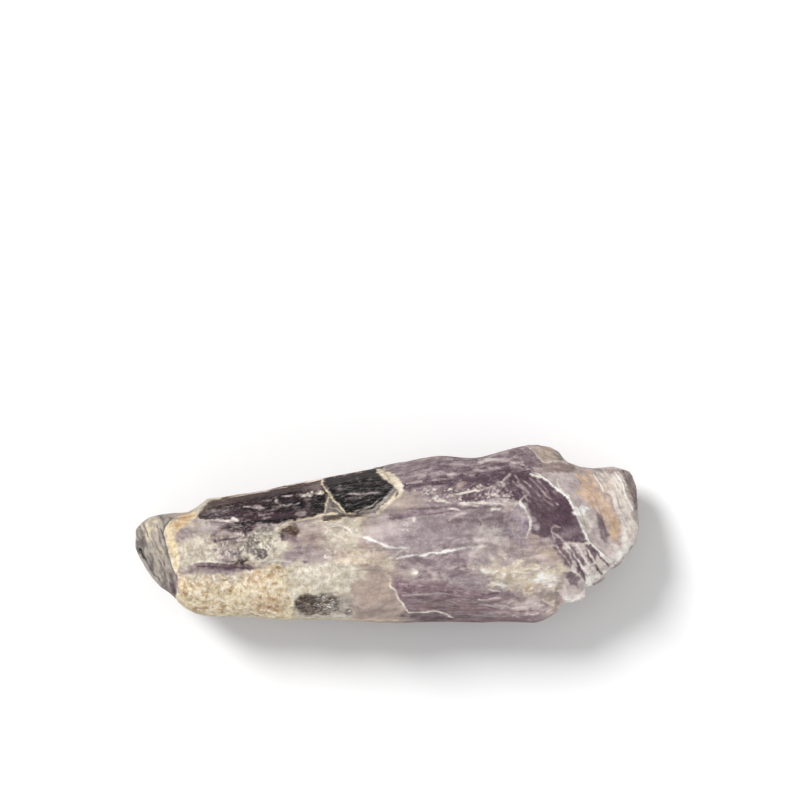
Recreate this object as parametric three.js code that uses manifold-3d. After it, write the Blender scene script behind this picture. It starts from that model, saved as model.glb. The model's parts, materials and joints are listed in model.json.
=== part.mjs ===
// A tumbled amethyst shard: a broken splinter of banded quartz with its edges worn round, lying on its
// flattest side. Millimetres, +Z up, X along the shard, origin under its middle on the surface it rests on.
import * as THREE from "three";
import { mergeVertices } from "three/addons/utils/BufferGeometryUtils.js";
import { ImprovedNoise } from "three/addons/math/ImprovedNoise.js";
import Module from "manifold-3d";

// Driving dimensions
const crestHeight = 20.4; // the upper face at the middle of the shard
const girdleHeight = 8.8; // the level where the shard is widest in plan, on average
const wornEdge = 0.85; // how far tumbling has rounded the edges between facets

// The grid that is wrapped onto the stone, around a spine inside it
const spine = { half: 32.5, westY: -3.6, eastY: 1.2 };
const grid = { around: 44, along: 42, end: 8 };
const upwardLean = 0.28; // turns the rays upward, so that the grid is finer on top
const march = { reach: 26, step: 0.45, halvings: 18 };

// The outline in plan, seen from above: the north side from the west tip, the east end, the south side
const northSide = [
  [-45.5, -1.8], [-45.6, 0.7], [-44.9, 2.1], [-43.2, 3.2], [-40.6, 3.9], [-38, 4.1], [-36, 4.2],
  [-34.7, 4.6], [-34, 5.8], [-32.6, 6.6], [-29.6, 7], [-22, 8.3], [-15, 9.8], [-6.6, 11.3], [0.6, 12.9],
  [6.7, 14.2], [10.2, 14.5], [15.9, 14.1], [21.3, 15.4], [25.2, 16.4], [27.1, 16.6], [29.1, 16.3],
  [30.7, 15.7], [31.8, 14.4], [33, 13], [35, 12.5], [39, 12.4], [42.4, 13.8], [44.8, 13.3],
];
const eastEnd = [
  [45.6, 10.9], [45.5, 8], [45.3, 5], [45.3, 1.4], [45, -0.7], [43.5, -2.2], [43, -3.5], [42, -4.8],
  [40.6, -5.5], [39, -7.3], [37.8, -8.5], [36.2, -9.1], [35.9, -10.5], [35, -11.5], [33.4, -11.9],
  [31.8, -12], [31, -13.4], [29.2, -14.8], [27.3, -15.6],
];
const southSide = [
  [24.5, -15.9], [20, -15.7], [15, -16.2], [8, -16.2], [0, -15.7], [-9, -15.4], [-18, -15.3], [-26, -14.8],
  [-30.5, -14.8], [-33.2, -14.5], [-35.5, -13.7], [-37, -12.4], [-39.4, -10.3], [-41.4, -8.7],
  [-43.4, -5.8], [-44.8, -3.9],
];
const outlineSamples = 420;

// The girdle tilts and wanders, and the side of the stone draws in from the outline above and below it
const girdle = { tilt: [0.03, 0.09], wander: 1.6, wavelength: 17 };
const sideAbove = { height: 12, inset: 2.6, power: 2.4 };
const sideBelow = { height: 9.5, inset: 3.6, power: 1.9 };

// Slow swells of the surface: wavelengths along and across the shard, and height
const swells = [
  { along: 15, across: 8, height: 0.55 },
  { along: 6.5, across: 4.4, height: 0.26 },
];
const swellFade = 3; // the swells die out at the girdle, over a third of the side's height

// Facets: a point on each plane, and how it climbs per millimetre eastward and northward. A facet with
// a span only reaches from one X to another, and lifts clear of the stone beyond them
const spanLift = 0.4;
const upperFacets = {
  crown: { at: [0, 0, crestHeight], climb: [0.02, -0.025] },
  darkWindow: { at: [16, 3, 20.3], climb: [-0.12, -0.04] },
  westShoulder: { at: [-16, 0, 19.9], climb: [0.13, -0.04] },
  crustedFace: { at: [-20, -5.2, 18.9], climb: [0.05, 0.24] },
  crustedSkirt: { at: [-24, -11.2, 17], climb: [0.05, 1], span: [-60, -7] },
  southFace: { at: [13, -8.6, 19.5], climb: [-0.05, 0.33] },
  southSkirt: { at: [6, -10.2, 18.8], climb: [0.02, 1.4], span: [2, 60] },
  southFoot: { at: [9, -14.5, 13], climb: [-0.05, 3.6], span: [4, 22] },
  northBench: { at: [-14, 3.8, 19.5], climb: [0.06, -0.34], span: [-60, 4] },
  northFace: { at: [12, 7.6, 19.8], climb: [-0.04, -0.48] },
  northSkirt: { at: [8, 12.5, 17], climb: [0.16, -2.1], span: [2, 17] },
  northWestFoot: { at: [-20, 7.7, 14.4], climb: [0.4, -2.8], span: [-33, -3] },
  lobe: { at: [28, 12.4, 17], climb: [-0.2, -0.6], span: [20, 60] },
  southEastFace: { at: [27, -6.4, 18.4], climb: [-0.3, 0.6], span: [18, 60] },
  westSlope: { at: [-37, -2, 15.9], climb: [0.6, 0.05] },
};
const lowerFacets = {
  southKeel: { at: [4, -8.6, 0.4], climb: [-0.02, -0.8] },
  southWestKeel: { at: [-28, -8.2, 2], climb: [-0.22, -0.95] },
  northKeel: { at: [6, 8.2, 0.5], climb: [-0.05, 0.78] },
  northWestKeel: { at: [-24, 2.6, 0.6], climb: [-0.1, 0.92] },
  westKeel: { at: [-33, -3, 0.9], climb: [-0.42, 0.1] },
  eastKeel: { at: [27, 2, 0.4], climb: [0.22, 0.04] },
  southEastKeel: { at: [25, -8, 1.6], climb: [0.34, -0.6] },
  restingFace: { at: [-1, 0, -0.8], climb: [0.004, 0.006] },
};

// East of this line the upper face has broken away, and slopes down to the end
const eastBreak = {
  line: [
    [20, 18], [22.6, 13.4], [25.6, 11.4], [29.4, 9.7], [32.2, 7.6], [33.8, 5], [35.1, 1.7], [36, -0.9],
    [38.4, -3.1], [45, -9],
  ],
  slope: 0.48,
};

// Steps that run beside that line, and round the west cap: each lowers all that lies beyond it by a drop,
// and lies at a share of the way from the first line to the last
const eastSteps = {
  first: eastBreak.line,
  last: [[34, 20], [38.6, 14.2], [41.6, 10.6], [43.2, 6.5], [43.8, 2], [43.9, -1.6], [48, -7]],
  beyond: [[60, -20], [60, 30], [20, 30]],
  steps: [{ share: 0.02, drop: 1.1 }, { share: 0.42, drop: 0.7 }],
};
const westSteps = {
  first: [
    [-37.2, -18], [-37.7, -11], [-38, -7], [-38.9, -4.2], [-39.6, -1.5], [-39.7, 0.9], [-38.4, 2.7],
    [-36.6, 4.2], [-35.2, 8],
  ],
  last: [[-41.6, -18], [-43, -11], [-44.4, -6], [-45, -2], [-44.6, 1.6], [-42.6, 4.4], [-41, 8]],
  beyond: [[-60, 20], [-60, -30]],
  steps: [{ share: 0, drop: 1.5 }, { share: 0.55, drop: 0.5 }],
};
const lineSamples = 18;

// Patches that have flaked away, as seen from above or from one side, and how far the surface moved in
const patches = {
  northEdgeStep: {
    seen: "above",
    corners: [[4, 9.4], [13, 10], [21, 11.4], [24, 12.6], [25.6, 20], [2, 20], [2.6, 11.4]],
    shift: [0, 0, -0.6],
  },
  brownWindow: {
    seen: "above",
    corners: [
      [-17, -14], [-16.1, -12.2], [-14.4, -11.1], [-12.2, -11], [-10.6, -12.2], [-9.6, -14], [-9.4, -18],
      [-17.4, -18],
    ],
    shift: [0, 0.15, -0.35],
  },
  southLedge: {
    seen: "south",
    corners: [
      [-35, 5.6], [-24, 7.8], [-9, 6.6], [2, 7.4], [16, 4.4], [6, 3.4], [-6, 1.9], [-18, 3.2], [-28, 2.6],
    ],
    shift: [0, 0.7, 0],
  },
  northLedge: {
    seen: "north",
    corners: [
      [-37, 6.2], [-24, 9], [-10, 7.4], [6, 8.6], [21, 5.2], [12, 4], [2, 1.8], [-12, 3.6], [-26, 2.4],
    ],
    shift: [0, -0.7, 0],
  },
};

// The dark crystal grown into the north-west has flat faces of its own: each part of its plan is bounded
// by a roof and a steep north wall, and goes down to its root
const crystalWall = { at: [-16, 9.3, 9.4], climb: [1.86, -10] };
const crystalRoot = 9.4;
const crystalParts = {
  band: {
    corners: [
      [-33.8, 3.2], [-30.2, 9.2], [-12.4, 14], [-10.6, 10], [-7, 4.3], [-12, 3.7], [-17, 2.8], [-28, 2.7],
    ],
    roof: { at: [-14, 4, 19.9], climb: [0.1, -0.36] },
  },
  pentagon: {
    corners: [[-13.4, 14], [-3.4, 14.6], [-1, 12.4], [1.5, 8.5], [-1.9, 3.9], [-7.6, 4.1], [-11.3, 9.9]],
    roof: { at: [-5, 4, 20.5], climb: [-0.05, -0.36] },
  },
};

// Flutes struck off the south-east corner: each is a flattened cone that opens outward from its point
const fan = {
  centre: [28.4, -0.6],
  start: 6,
  length: 13,
  flatness: 0.55,
  above: 0.1,
  extraPitch: 2,
  sides: 14,
};
const flutes = [
  { turn: -75, mouth: 2.6 },
  { turn: -63, mouth: 2.2 },
  { turn: -52, mouth: 2.3 },
  { turn: -41.5, mouth: 2 },
  { turn: -31, mouth: 2.1 },
];

// Chips bitten right through the south-east edge: upright, a little wider at the top
const bites = [
  { at: [36.85, -10.1], radius: 1.4 },
  { at: [32.4, -13.3], radius: 1.6 },
  { at: [40.3, -7.15], radius: 1.3 },
];
const biteShape = { flare: 1.15, height: 30, sides: 14 };

// Shallow shells struck out of the stone: centre, radii and turn about Z in degrees
const shells = {
  notch: { at: [36.2, 18.2, 15], radii: [5.2, 6.1, 6.5], turn: -14 },
  frostyDimple: { at: [24, 2.4, 28], radii: [9.4, 11, 9], turn: 10 },
  frontShell: { at: [10, -24.4, 5.4], radii: [15, 10, 7.6], turn: -3 },
  skirtShell: { at: [-26, -21, 15.6], radii: [13, 8.2, 6.6], turn: 2 },
  backShell: { at: [14, 21.8, 6.4], radii: [13, 8.4, 7], turn: 6 },
  backWestShell: { at: [-20, 16.4, 5], radii: [15, 9, 6], turn: 12 },
  lobeShell: { at: [18.6, 18.6, 18.6], radii: [7.4, 5, 5], turn: 14 },
};
const shellGrid = { around: 26, down: 18 };

const blockSize = 200; // larger than the stone, for blocks that cut right through it

const wasm = await Module();
wasm.setup();
const noise = new ImprovedNoise();

// A smooth curve through points in plan, as a run of short straight pieces
function smoothRun(points, samples, closed) {
  const corners = points.map(([x, y]) => new THREE.Vector3(x, y, 0));
  const curve = new THREE.CatmullRomCurve3(corners, closed, "centripetal");
  return curve.getPoints(samples).map((p) => new THREE.Vector2(p.x, p.y));
}

// Distance from a point to a run of pieces, positive on the left of the run
function sideDistance(run, x, y) {
  let best = Infinity;
  let side = 1;
  for (let i = 0; i + 1 < run.length; i++) {
    const a = run[i];
    const dx = run[i + 1].x - a.x;
    const dy = run[i + 1].y - a.y;
    const t = THREE.MathUtils.clamp(((x - a.x) * dx + (y - a.y) * dy) / (dx * dx + dy * dy), 0, 1);
    const gap = Math.hypot(x - a.x - t * dx, y - a.y - t * dy);
    if (gap < best) {
      best = gap;
      side = Math.sign(dx * (y - a.y) - dy * (x - a.x)) || 1;
    }
  }
  return best * side;
}

// The larger of two values, with the corner between them rounded over a width
function roundedMax(a, b, width) {
  const overlap = Math.max(width - Math.abs(a - b), 0) / width;
  return Math.max(a, b) + (overlap * overlap * width) / 4;
}

// How far a facet's plane has lifted clear of the stone beyond its span
function liftBeyond(span, x) {
  return span ? spanLift * Math.max(span[0] - x, x - span[1], 0) : 0;
}

function facetHeight({ at, climb }, x, y) {
  return at[2] + climb[0] * (x - at[0]) + climb[1] * (y - at[1]);
}

const outline = smoothRun([...northSide, ...eastEnd, ...southSide], outlineSamples, true);
const breakRun = smoothRun(eastBreak.line, lineSamples, false);

function aboveUpper(x, y, z) {
  let over = -Infinity;
  for (const facet of Object.values(upperFacets)) {
    over = roundedMax(over, z - facetHeight(facet, x, y) - liftBeyond(facet.span, x), wornEdge);
  }
  return over + eastBreak.slope * Math.max(sideDistance(breakRun, x, y), 0);
}

function belowLower(x, y, z) {
  let under = -Infinity;
  for (const facet of Object.values(lowerFacets)) {
    under = roundedMax(under, facetHeight(facet, x, y) - z, wornEdge);
  }
  return under;
}

function swellAt(x, y, z) {
  let sum = 0;
  for (const { along, across, height } of swells) {
    sum += height * noise.noise(x / along, y / across + along, z / across);
  }
  return sum;
}

// How far a point is outside the stone; the distance isn't exact away from the surface
function outsideStone(x, y, z) {
  const wander = girdle.wander * noise.noise(x / girdle.wavelength, y / girdle.wavelength, 0);
  const level = girdleHeight + girdle.tilt[0] * x + girdle.tilt[1] * y + wander;
  const side = z > level ? sideAbove : sideBelow;
  const share = Math.abs(z - level) / side.height;
  const wall = sideDistance(outline, x, y) + side.inset * Math.pow(share, side.power);
  const faces = roundedMax(aboveUpper(x, y, z), belowLower(x, y, z), wornEdge);
  return roundedMax(faces, wall, wornEdge) + swellAt(x, y, z) * Math.min(swellFade * share, 1);
}

// The distance along a ray at which it first leaves the stone
function wayOut(start, ray) {
  const outside = (s) => outsideStone(start.x + s * ray.x, start.y + s * ray.y, start.z + s * ray.z);
  let inner = 0;
  let outer = march.step;
  while (outer < march.reach && outside(outer) < 0) {
    inner = outer;
    outer += march.step;
  }
  for (let i = 0; i < march.halvings; i++) {
    const middle = (inner + outer) / 2;
    if (outside(middle) < 0) inner = middle;
    else outer = middle;
  }
  return inner;
}

// A capsule's grid, whose points slide out along their own rays until they reach the stone's surface
function wrappedStone() {
  const capsule = new THREE.CapsuleGeometry(1, 2 * spine.half, grid.end, grid.around, grid.along);
  capsule.rotateZ(-Math.PI / 2);
  const points = capsule.getAttribute("position");
  for (let i = 0; i < points.count; i++) {
    const along = THREE.MathUtils.clamp(points.getX(i), -spine.half, spine.half);
    const y = THREE.MathUtils.mapLinear(along, -spine.half, spine.half, spine.westY, spine.eastY);
    const start = new THREE.Vector3(along, y, girdleHeight);
    const ray = new THREE.Vector3(points.getX(i) - along, points.getY(i), points.getZ(i) + upwardLean);
    ray.normalize();
    const at = start.clone().addScaledVector(ray, wayOut(start, ray));
    points.setXYZ(i, at.x, at.y, at.z);
  }
  return capsule;
}

// A closed geometry as a solid for cutting and joining
function solidOf(geometry) {
  const bare = geometry.clone();
  bare.deleteAttribute("normal");
  bare.deleteAttribute("uv");
  const merged = mergeVertices(bare, 1e-4);
  const index = merged.index.array;
  const kept = [];
  for (let i = 0; i < index.length; i += 3) {
    const [a, b, c] = index.slice(i, i + 3);
    if (a !== b && b !== c && c !== a) kept.push(a, b, c);
  }
  const vertProperties = new Float32Array(merged.attributes.position.array);
  return new wasm.Manifold(new wasm.Mesh({ numProp: 3, vertProperties, triVerts: new Uint32Array(kept) }));
}

function geometryOf(solid) {
  const mesh = solid.getMesh();
  const geometry = new THREE.BufferGeometry();
  geometry.setAttribute("position", new THREE.BufferAttribute(new Float32Array(mesh.vertProperties), 3));
  geometry.setIndex(new THREE.BufferAttribute(new Uint32Array(mesh.triVerts), 1));
  geometry.computeVertexNormals();
  return geometry;
}

// A straight prism on corners seen from above, or from the south or north, reaching out that way
function prism(corners, seen) {
  const shape = new THREE.Shape(corners.map(([x, y]) => new THREE.Vector2(x, y)));
  const block = new THREE.ExtrudeGeometry(shape, { depth: blockSize, bevelEnabled: false });
  if (seen === "above") return block;
  block.rotateX(Math.PI / 2);
  return seen === "north" ? block.translate(0, blockSize, 0) : block;
}

// Within a prism, the stone is cut back to a copy of itself that has moved by a shift
function withPatch(stone, { seen, corners, shift }) {
  const block = solidOf(prism(corners, seen));
  return stone.subtract(block.subtract(stone.translate(shift)));
}

// Everything above a plane, as a big block
function blockAbove({ at, climb }) {
  const normal = new THREE.Vector3(-climb[0], -climb[1], 1).normalize();
  const block = new THREE.BoxGeometry(blockSize, blockSize, blockSize).translate(0, 0, blockSize / 2);
  block.applyQuaternion(new THREE.Quaternion().setFromUnitVectors(new THREE.Vector3(0, 0, 1), normal));
  return solidOf(block.translate(...at));
}

// Part of the dark crystal: within its plan, the stone is cut and filled to the crystal's flat faces
function withCrystal(stone, { corners, roof }) {
  const whole = solidOf(prism(corners, "above").translate(0, 0, crystalRoot));
  const crystal = whole.subtract(blockAbove(roof)).subtract(blockAbove(crystalWall));
  return stone.subtract(whole).add(crystal);
}

// Steps between two lines: at each, the stone beyond is lowered by that step's drop
function withSteps(stone, { first, last, beyond, steps }) {
  const firstRun = smoothRun(first, lineSamples, false);
  const lastRun = smoothRun(last, lineSamples, false);
  for (const { share, drop } of steps) {
    const edge = firstRun.map((p, i) => p.clone().lerp(lastRun[i], share).toArray());
    stone = withPatch(stone, { seen: "above", corners: [...edge, ...beyond], shift: [0, 0, -drop] });
  }
  return stone;
}

// One flute: a cone lying on the south-east face, with its point near the middle of the fan
function fluteGeometry({ turn, mouth }) {
  const { centre, start, length, flatness, above, extraPitch, sides } = fan;
  const facet = upperFacets.southEastFace;
  const angle = THREE.MathUtils.degToRad(turn);
  const fall = -facet.climb[0] * Math.cos(angle) - facet.climb[1] * Math.sin(angle);
  const x = centre[0] + start * Math.cos(angle);
  const y = centre[1] + start * Math.sin(angle);
  const cone = new THREE.ConeGeometry(mouth, length, sides);
  cone.rotateZ(Math.PI / 2);
  cone.translate(length / 2, 0, 0);
  cone.scale(1, 1, flatness);
  cone.rotateY(Math.atan(fall) + THREE.MathUtils.degToRad(extraPitch));
  cone.rotateZ(angle);
  return cone.translate(x, y, facetHeight(facet, x, y) + above);
}

function biteGeometry({ at, radius }) {
  const { flare, height, sides } = biteShape;
  const chip = new THREE.CylinderGeometry(radius * flare, radius / flare, height, sides);
  return chip.rotateX(Math.PI / 2).translate(...at, height / 2 - 1);
}

function shellGeometry({ at, radii, turn }) {
  const geometry = new THREE.SphereGeometry(1, shellGrid.around, shellGrid.down);
  geometry.scale(...radii);
  geometry.rotateZ(THREE.MathUtils.degToRad(turn));
  return geometry.translate(...at);
}

function stoneGeometry() {
  let stone = solidOf(wrappedStone());
  for (const shell of Object.values(shells)) stone = stone.subtract(solidOf(shellGeometry(shell)));
  for (const patch of Object.values(patches)) stone = withPatch(stone, patch);
  for (const crystalPart of Object.values(crystalParts)) stone = withCrystal(stone, crystalPart);
  stone = withSteps(withSteps(stone, eastSteps), westSteps);
  for (const flute of flutes) stone = stone.subtract(solidOf(fluteGeometry(flute)));
  for (const bite of bites) stone = stone.subtract(solidOf(biteGeometry(bite)));
  const ground = new THREE.BoxGeometry(blockSize, blockSize, blockSize).translate(0, 0, -blockSize / 2);
  return geometryOf(stone.subtract(solidOf(ground)));
}

const amethyst = new THREE.MeshStandardMaterial({ color: 0x9c8a94, roughness: 0.32, metalness: 0 });

const shard = new THREE.Mesh(stoneGeometry(), amethyst);
shard.name = "shard";

const part = new THREE.Group();
part.name = "tumbled_amethyst_shard";
part.add(shard);

export default part;
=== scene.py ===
import json
import math
import random

import bpy
import numpy as np
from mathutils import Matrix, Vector, noise

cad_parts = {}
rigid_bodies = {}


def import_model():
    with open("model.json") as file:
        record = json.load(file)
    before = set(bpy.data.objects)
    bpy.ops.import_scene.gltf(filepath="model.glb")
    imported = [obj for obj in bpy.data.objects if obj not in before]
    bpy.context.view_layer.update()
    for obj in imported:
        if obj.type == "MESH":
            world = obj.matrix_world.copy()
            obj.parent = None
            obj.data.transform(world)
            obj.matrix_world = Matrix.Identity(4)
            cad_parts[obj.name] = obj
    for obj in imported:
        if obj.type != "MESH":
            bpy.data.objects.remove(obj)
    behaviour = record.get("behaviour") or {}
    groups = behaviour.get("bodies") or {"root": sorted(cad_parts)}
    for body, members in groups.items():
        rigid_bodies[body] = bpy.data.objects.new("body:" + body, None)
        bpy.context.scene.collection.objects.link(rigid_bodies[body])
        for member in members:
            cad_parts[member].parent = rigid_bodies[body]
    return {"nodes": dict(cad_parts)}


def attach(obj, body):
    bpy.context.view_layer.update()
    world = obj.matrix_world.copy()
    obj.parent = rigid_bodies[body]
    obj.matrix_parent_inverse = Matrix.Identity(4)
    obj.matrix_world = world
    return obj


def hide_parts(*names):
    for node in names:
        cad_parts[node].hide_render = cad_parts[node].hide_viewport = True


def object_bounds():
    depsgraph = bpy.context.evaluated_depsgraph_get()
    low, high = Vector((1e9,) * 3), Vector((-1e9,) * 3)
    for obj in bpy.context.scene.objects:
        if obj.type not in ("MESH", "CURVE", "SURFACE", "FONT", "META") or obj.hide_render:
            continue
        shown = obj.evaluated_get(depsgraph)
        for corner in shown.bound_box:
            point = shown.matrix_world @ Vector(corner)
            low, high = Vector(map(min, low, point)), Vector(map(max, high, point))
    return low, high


# A tumbled amethyst shard seen from straight above. In the dictionaries, sizes are in millimetres and
# angles in degrees, unless the name says otherwise.

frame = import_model()
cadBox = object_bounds()
millimetre = 0.001
print("frame loaded")

studio = {
    "lens": 120, "film": 36,
    "cameraAt": (2.36, 24.46, 490),
    "skyStrength": 0.66, "skyTint": (1, 1, 1),
    "floorKey": {"strength": 2.9, "spread": 20, "tilt": 49, "turn": 47},
    "stoneKey": {"strength": 2.1, "spread": 40, "tilt": 27, "turn": 45},
    "floorHalf": 1500, "floorTone": 0.86, "floorRoughness": 0.7, "floorSpecular": 0.1,
    "nearClip": 10,
}


def makeStudio():
    scene = bpy.context.scene
    scene.view_settings.view_transform = "Standard"
    camera = bpy.data.objects.new("camera", bpy.data.cameras.new("camera"))
    camera.data.lens = studio["lens"]
    camera.data.sensor_width = studio["film"]
    camera.data.clip_start = studio["nearClip"] * millimetre
    camera.location = [v * millimetre for v in studio["cameraAt"]]  # looks straight down, +Y up
    scene.collection.objects.link(camera)
    scene.camera = camera

    world = bpy.data.worlds.new("softRoom")
    world.use_nodes = True
    sky = world.node_tree.nodes["Background"]
    sky.inputs["Color"].default_value = (*studio["skyTint"], 1)
    sky.inputs["Strength"].default_value = studio["skyStrength"]
    scene.world = world

    half = studio["floorHalf"] * millimetre
    mesh = bpy.data.meshes.new("floor")
    corners = [(-half, -half, 0), (half, -half, 0), (half, half, 0), (-half, half, 0)]
    mesh.from_pydata(corners, [], [(0, 1, 2, 3)])
    floor = bpy.data.objects.new("floor", mesh)
    scene.collection.objects.link(floor)
    paper = bpy.data.materials.new("paleFloor")
    paper.use_nodes = True
    shader = paper.node_tree.nodes["Principled BSDF"]
    shader.inputs["Base Color"].default_value = (*[studio["floorTone"]] * 3, 1)
    shader.inputs["Roughness"].default_value = studio["floorRoughness"]
    shader.inputs["Specular IOR Level"].default_value = studio["floorSpecular"]
    mesh.materials.append(paper)
    print("studio made")
    return floor


def makeKey(name, lit):
    # a soft sun from the upper left for one thing; the floor's is lower, so that the shadow is long
    key = bpy.data.objects.new(name, bpy.data.lights.new(name, "SUN"))
    key.data.energy = studio[name]["strength"]
    key.data.angle = math.radians(studio[name]["spread"])
    tilt, turn = math.radians(studio[name]["tilt"]), math.radians(studio[name]["turn"])
    toLight = Vector((-math.sin(tilt) * math.sin(turn), math.sin(tilt) * math.cos(turn), math.cos(tilt)))
    key.rotation_euler = toLight.to_track_quat("Z", "Y").to_euler()
    key.visible_glossy = False  # the stone has no hard glint
    bpy.context.scene.collection.objects.link(key)
    receivers = bpy.data.collections.new(name + "Receivers")
    receivers.objects.link(lit)
    key.light_linking.receiver_collection = receivers


# Tones are red, green and blue from 0 to 255. A patch is a name, its tone, how soft its edge is, how strong
# it is, and then corners in plan, or a centre and two radii. A line has a width in place of the edge. A
# stroke family has a width, strength, count, shortest and longest stroke, angle, spread and its area, and
# is seeded by its place in the list, so that a new one goes last. Rows may end with extras: the masks crust,
# fleck, clear and streak, the way of the banding, the turn of an oval, lift in mm, rag and clump of the edge,
# the side a patch is facing, how readily a line may break, and the bend of a stroke.
shardLooks = {
    "grain": 0.21, "smoothing": 5, "boxMargin": 0.02,  # the skin, and its room inside the CAD box
    "hiddenFrom": 5.5, "hiddenSlope": 0.3, "hiddenKeep": 0.1,  # faces this low or steep keep fewer triangles
    "fineWall": (-33, 0), "wallFacing": 0.6,  # apart from the crystal's north side, between these x
    "upFrom": 4.5, "upOver": 3.5, "sideFrom": -0.55, "sideOver": 0.4,  # where the upper side's paint fades
    "dullBelow": 0.45, "dullOver": 0.25,  # how steep the dull sides are
    "underFrom": 0.35, "underOver": 0.3,  # how far a face looks down before hidden marks lie on it
    "spillFrom": 0.5, "spillShare": 0.35,  # patches with a softer edge carry on below, at this share
    "bandWay": 6, "wispShare": 0.45, "plainStreak": 0.4,  # the plain quartz under all patches
    "cloudShade": 0.10, "bandShade": 0.07, "clearCalm": 0.5,
    "crustRelief": 0.10, "bandRelief": 0.035, "swellRelief": 0.06, "footFade": 0.8,
    "warps": [(1.0, 4.2), (0.8, 1.8)], "fineWarps": [(0.7, 0.9), (0.5, 0.45)],  # strength and length
    "albedo": 0.86,  # brings the lit tones down to the picture's
}
shardLooks["tones"] = {
    "lilac": (156, 141, 144), "mauve": (126, 108, 114), "plum": (88, 68, 78), "deepPlum": (62, 44, 52),
    "black": (14, 11, 13), "brown": (92, 74, 62), "smoke": (170, 161, 151), "darkSmoke": (108, 100, 98),
    "cream": (225, 209, 177), "ivory": (234, 226, 212), "white": (250, 246, 240),
    "greenWhite": (209, 201, 183), "beige": (176, 158, 142), "pinkBeige": (178, 158, 146),
    "paleLilac": (186, 172, 170), "frost": (164, 151, 156), "frostDark": (128, 112, 126),
    "orange": (212, 184, 152), "rust": (166, 124, 88), "olive": (168, 150, 138),
    "yellowCream": (226, 212, 188), "warmBeige": (222, 204, 180), "tan": (196, 168, 136),
    "pinkTan": (184, 158, 146), "pinkWhite": (226, 212, 206), "windowBrown": (50, 34, 28),
    "darkBrown": (70, 48, 36), "brownGrey": (132, 115, 110), "bandPlum": (52, 37, 38),
    "wallBrown": (62, 35, 27), "skirtRose": (134, 105, 106), "shoulderGrey": (165, 149, 140),
    "windowPlum": (84, 62, 72), "rimCream": (232, 214, 178), "deepOrange": (204, 168, 124),
    "skirtPlum": (134, 110, 116), "peach": (210, 180, 157),
}
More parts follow.
